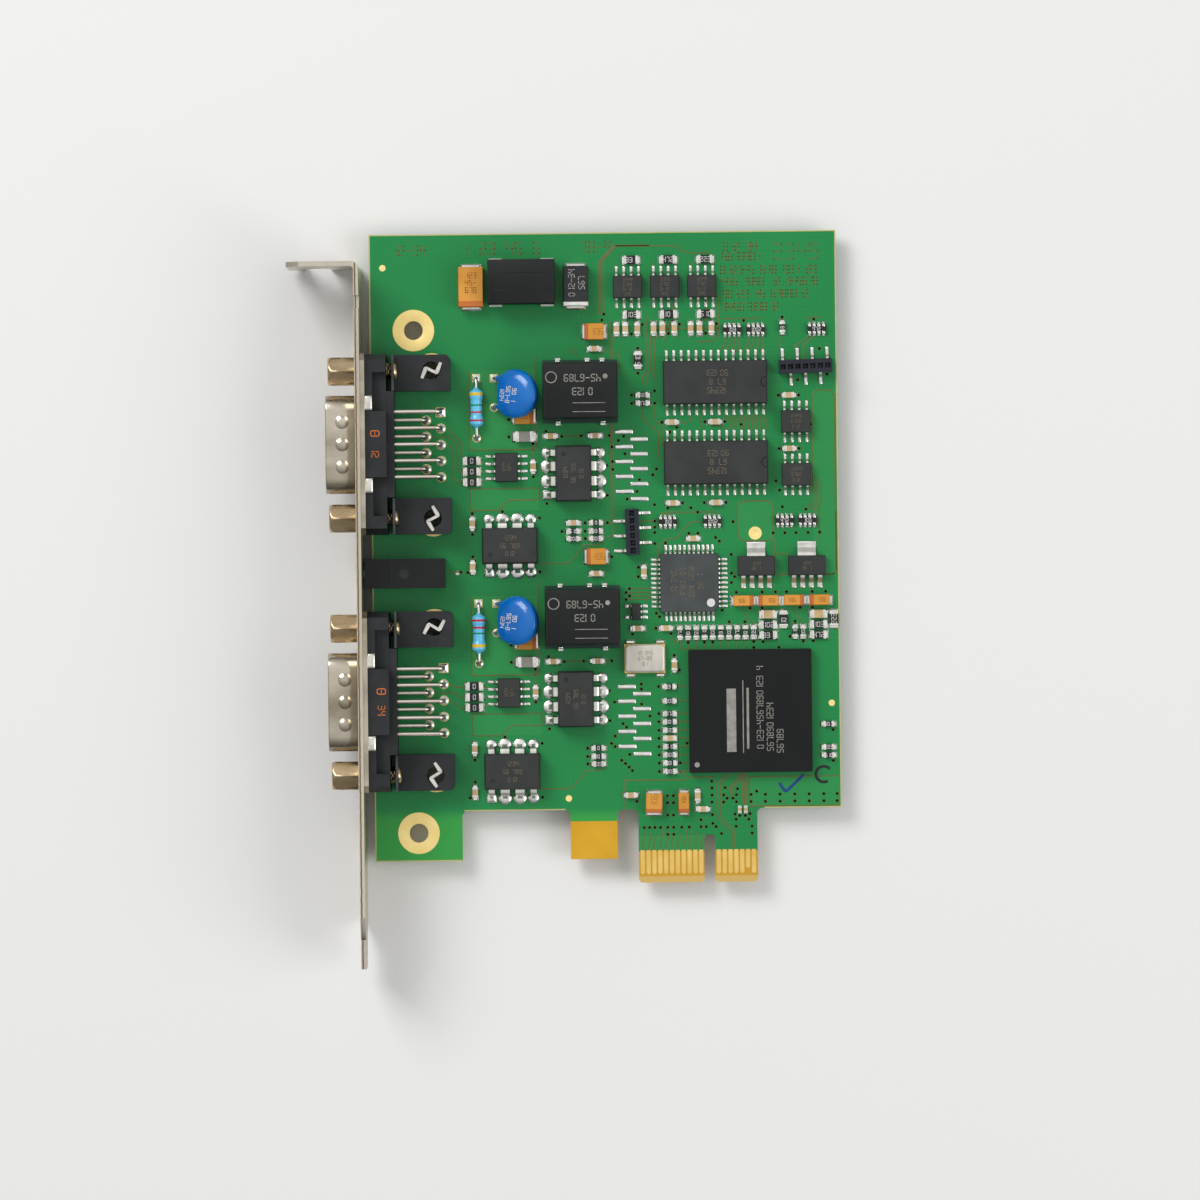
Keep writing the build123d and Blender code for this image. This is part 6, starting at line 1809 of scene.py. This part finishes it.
# %% [markdown]
# ## Camera, floor and light
# The card is seen from straight above, from far away. The camera stands 1.4 m over the middle of
# the picture, which is 205 mm wide at the board, and it is turned by the half degree or so that
# the card leans. Two broad lamps stand low at the sides, so the flat board doesn't mirror them,
# and the pale sky fills the rest.

# %% Camera
CAMERA_HEIGHT = 1.4
PICTURE_WIDTH = 205.0 * MM
camera_data = bpy.data.cameras.new("camera")
camera = bpy.data.objects.new("camera", camera_data)
bpy.context.scene.collection.objects.link(camera)
bpy.context.scene.camera = camera
camera.location = (-18.3 * MM, 48.37 * MM, CAMERA_HEIGHT)
camera.rotation_euler = (0, 0, math.radians(-0.65))
camera_data.sensor_width = 36
camera_data.lens = camera_data.sensor_width * CAMERA_HEIGHT / PICTURE_WIDTH
camera_data.clip_start = 0.05
camera_data.clip_end = 10
print("camera:", [round(v, 4) for v in camera.location], "m, lens", round(camera_data.lens, 1), "mm")

# %% Floor
floor_z = cad_box[0].z - 0.00002
floor_mesh = bpy.data.meshes.new("floor")
reach = 1.5
floor_corners = [(-reach, -reach), (reach, -reach), (reach, reach), (-reach, reach)]
floor_mesh.from_pydata([(x, y, floor_z) for x, y in floor_corners], [], [(0, 1, 2, 3)])
floor = bpy.data.objects.new("floor", floor_mesh)
bpy.context.scene.collection.objects.link(floor)
floor_material = bpy.data.materials.new("pale floor")
floor_material.use_nodes = True
shader = floor_material.node_tree.nodes["Principled BSDF"]
shader.inputs["Base Color"].default_value = (0.82, 0.82, 0.81, 1)
shader.inputs["Roughness"].default_value = 0.9
shader.inputs["Specular IOR Level"].default_value = 0.1
floor_mesh.materials.append(floor_material)
floor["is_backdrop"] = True
print("floor at", round(floor_z, 5), "m")

# %% [markdown]
# The sky is a band of light by height. A ray from the camera or a mirror sees it as it is, and in
# mirrors its lower side in y is darker, which gives the metal its contrast. Every other ray meets a
# plain half level, so the light on the card is the same from all sides.

# %% Sky
world = bpy.data.worlds.new("sky")
bpy.context.scene.world = world
world.use_nodes = True
tree = world.node_tree
background = tree.nodes["Background"]
place = add_node(tree, "ShaderNodeTexCoord")
height = add_node(tree, "ShaderNodeSeparateXYZ", Vector=place.outputs["Generated"])
band = {"From_Min": 0.1, "From_Max": 0.97, "To_Min": 0.2, "To_Max": 1.0}
band = add_node(tree, "ShaderNodeMapRange", Value=height.outputs["Z"], **band).outputs["Result"]
side = {"From_Min": -0.7, "From_Max": 0.15, "To_Min": 0.45, "To_Max": 1.0}
side = add_node(tree, "ShaderNodeMapRange", Value=height.outputs["Y"], **side).outputs["Result"]
ray = add_node(tree, "ShaderNodeLightPath").outputs
sided = add_node(tree, "ShaderNodeMix", {"data_type": "FLOAT"}, i0=ray["Is Glossy Ray"], i2=1.0, i3=side)
shaded = arithmetic(tree, "MULTIPLY", band, sided.outputs[0])
mirrored = arithmetic(tree, "MAXIMUM", ray["Is Glossy Ray"], ray["Is Transmission Ray"])
seen = arithmetic(tree, "MAXIMUM", ray["Is Camera Ray"], mirrored)
level = add_node(tree, "ShaderNodeMix", {"data_type": "FLOAT"}, i0=seen, i2=0.5, i3=shaded).outputs[0]
tint = add_node(tree, "ShaderNodeCombineColor", Red=level, Green=level, Blue=level)
tree.links.new(tint.outputs["Color"], background.inputs["Color"])
background.inputs["Strength"].default_value = 1.0
print("sky:", len(tree.nodes), "nodes")


# %% Two lamps
def softbox(name, spot, size, power):
    """A square lamp that faces the middle of the card."""
    data = bpy.data.lights.new(name, "AREA")
    data.shape = "SQUARE"
    data.size = size
    data.energy = power
    lamp = bpy.data.objects.new(name, data)
    bpy.context.scene.collection.objects.link(lamp)
    lamp.location = spot
    aim = Vector((-0.018, 0.048, 0.0)) - Vector(spot)
    lamp.rotation_euler = aim.to_track_quat("-Z", "Y").to_euler()
    print(f"{name}: {size} m wide, {power} W")


softbox("key lamp", (-0.55, 0.65, 0.75), 0.5, 6.4)
softbox("fill lamp", (0.75, -0.15, 0.6), 0.6, 3.2)
bpy.context.scene.view_settings.view_transform = "Standard"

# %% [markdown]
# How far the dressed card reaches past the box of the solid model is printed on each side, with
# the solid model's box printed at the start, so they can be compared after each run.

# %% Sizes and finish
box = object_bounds()
below = [round((a - b) / MM, 3) for a, b in zip(cad_box[0], box[0])]
beyond = [round((b - a) / MM, 3) for a, b in zip(cad_box[1], box[1])]
print("grown by (mm):", below, beyond)
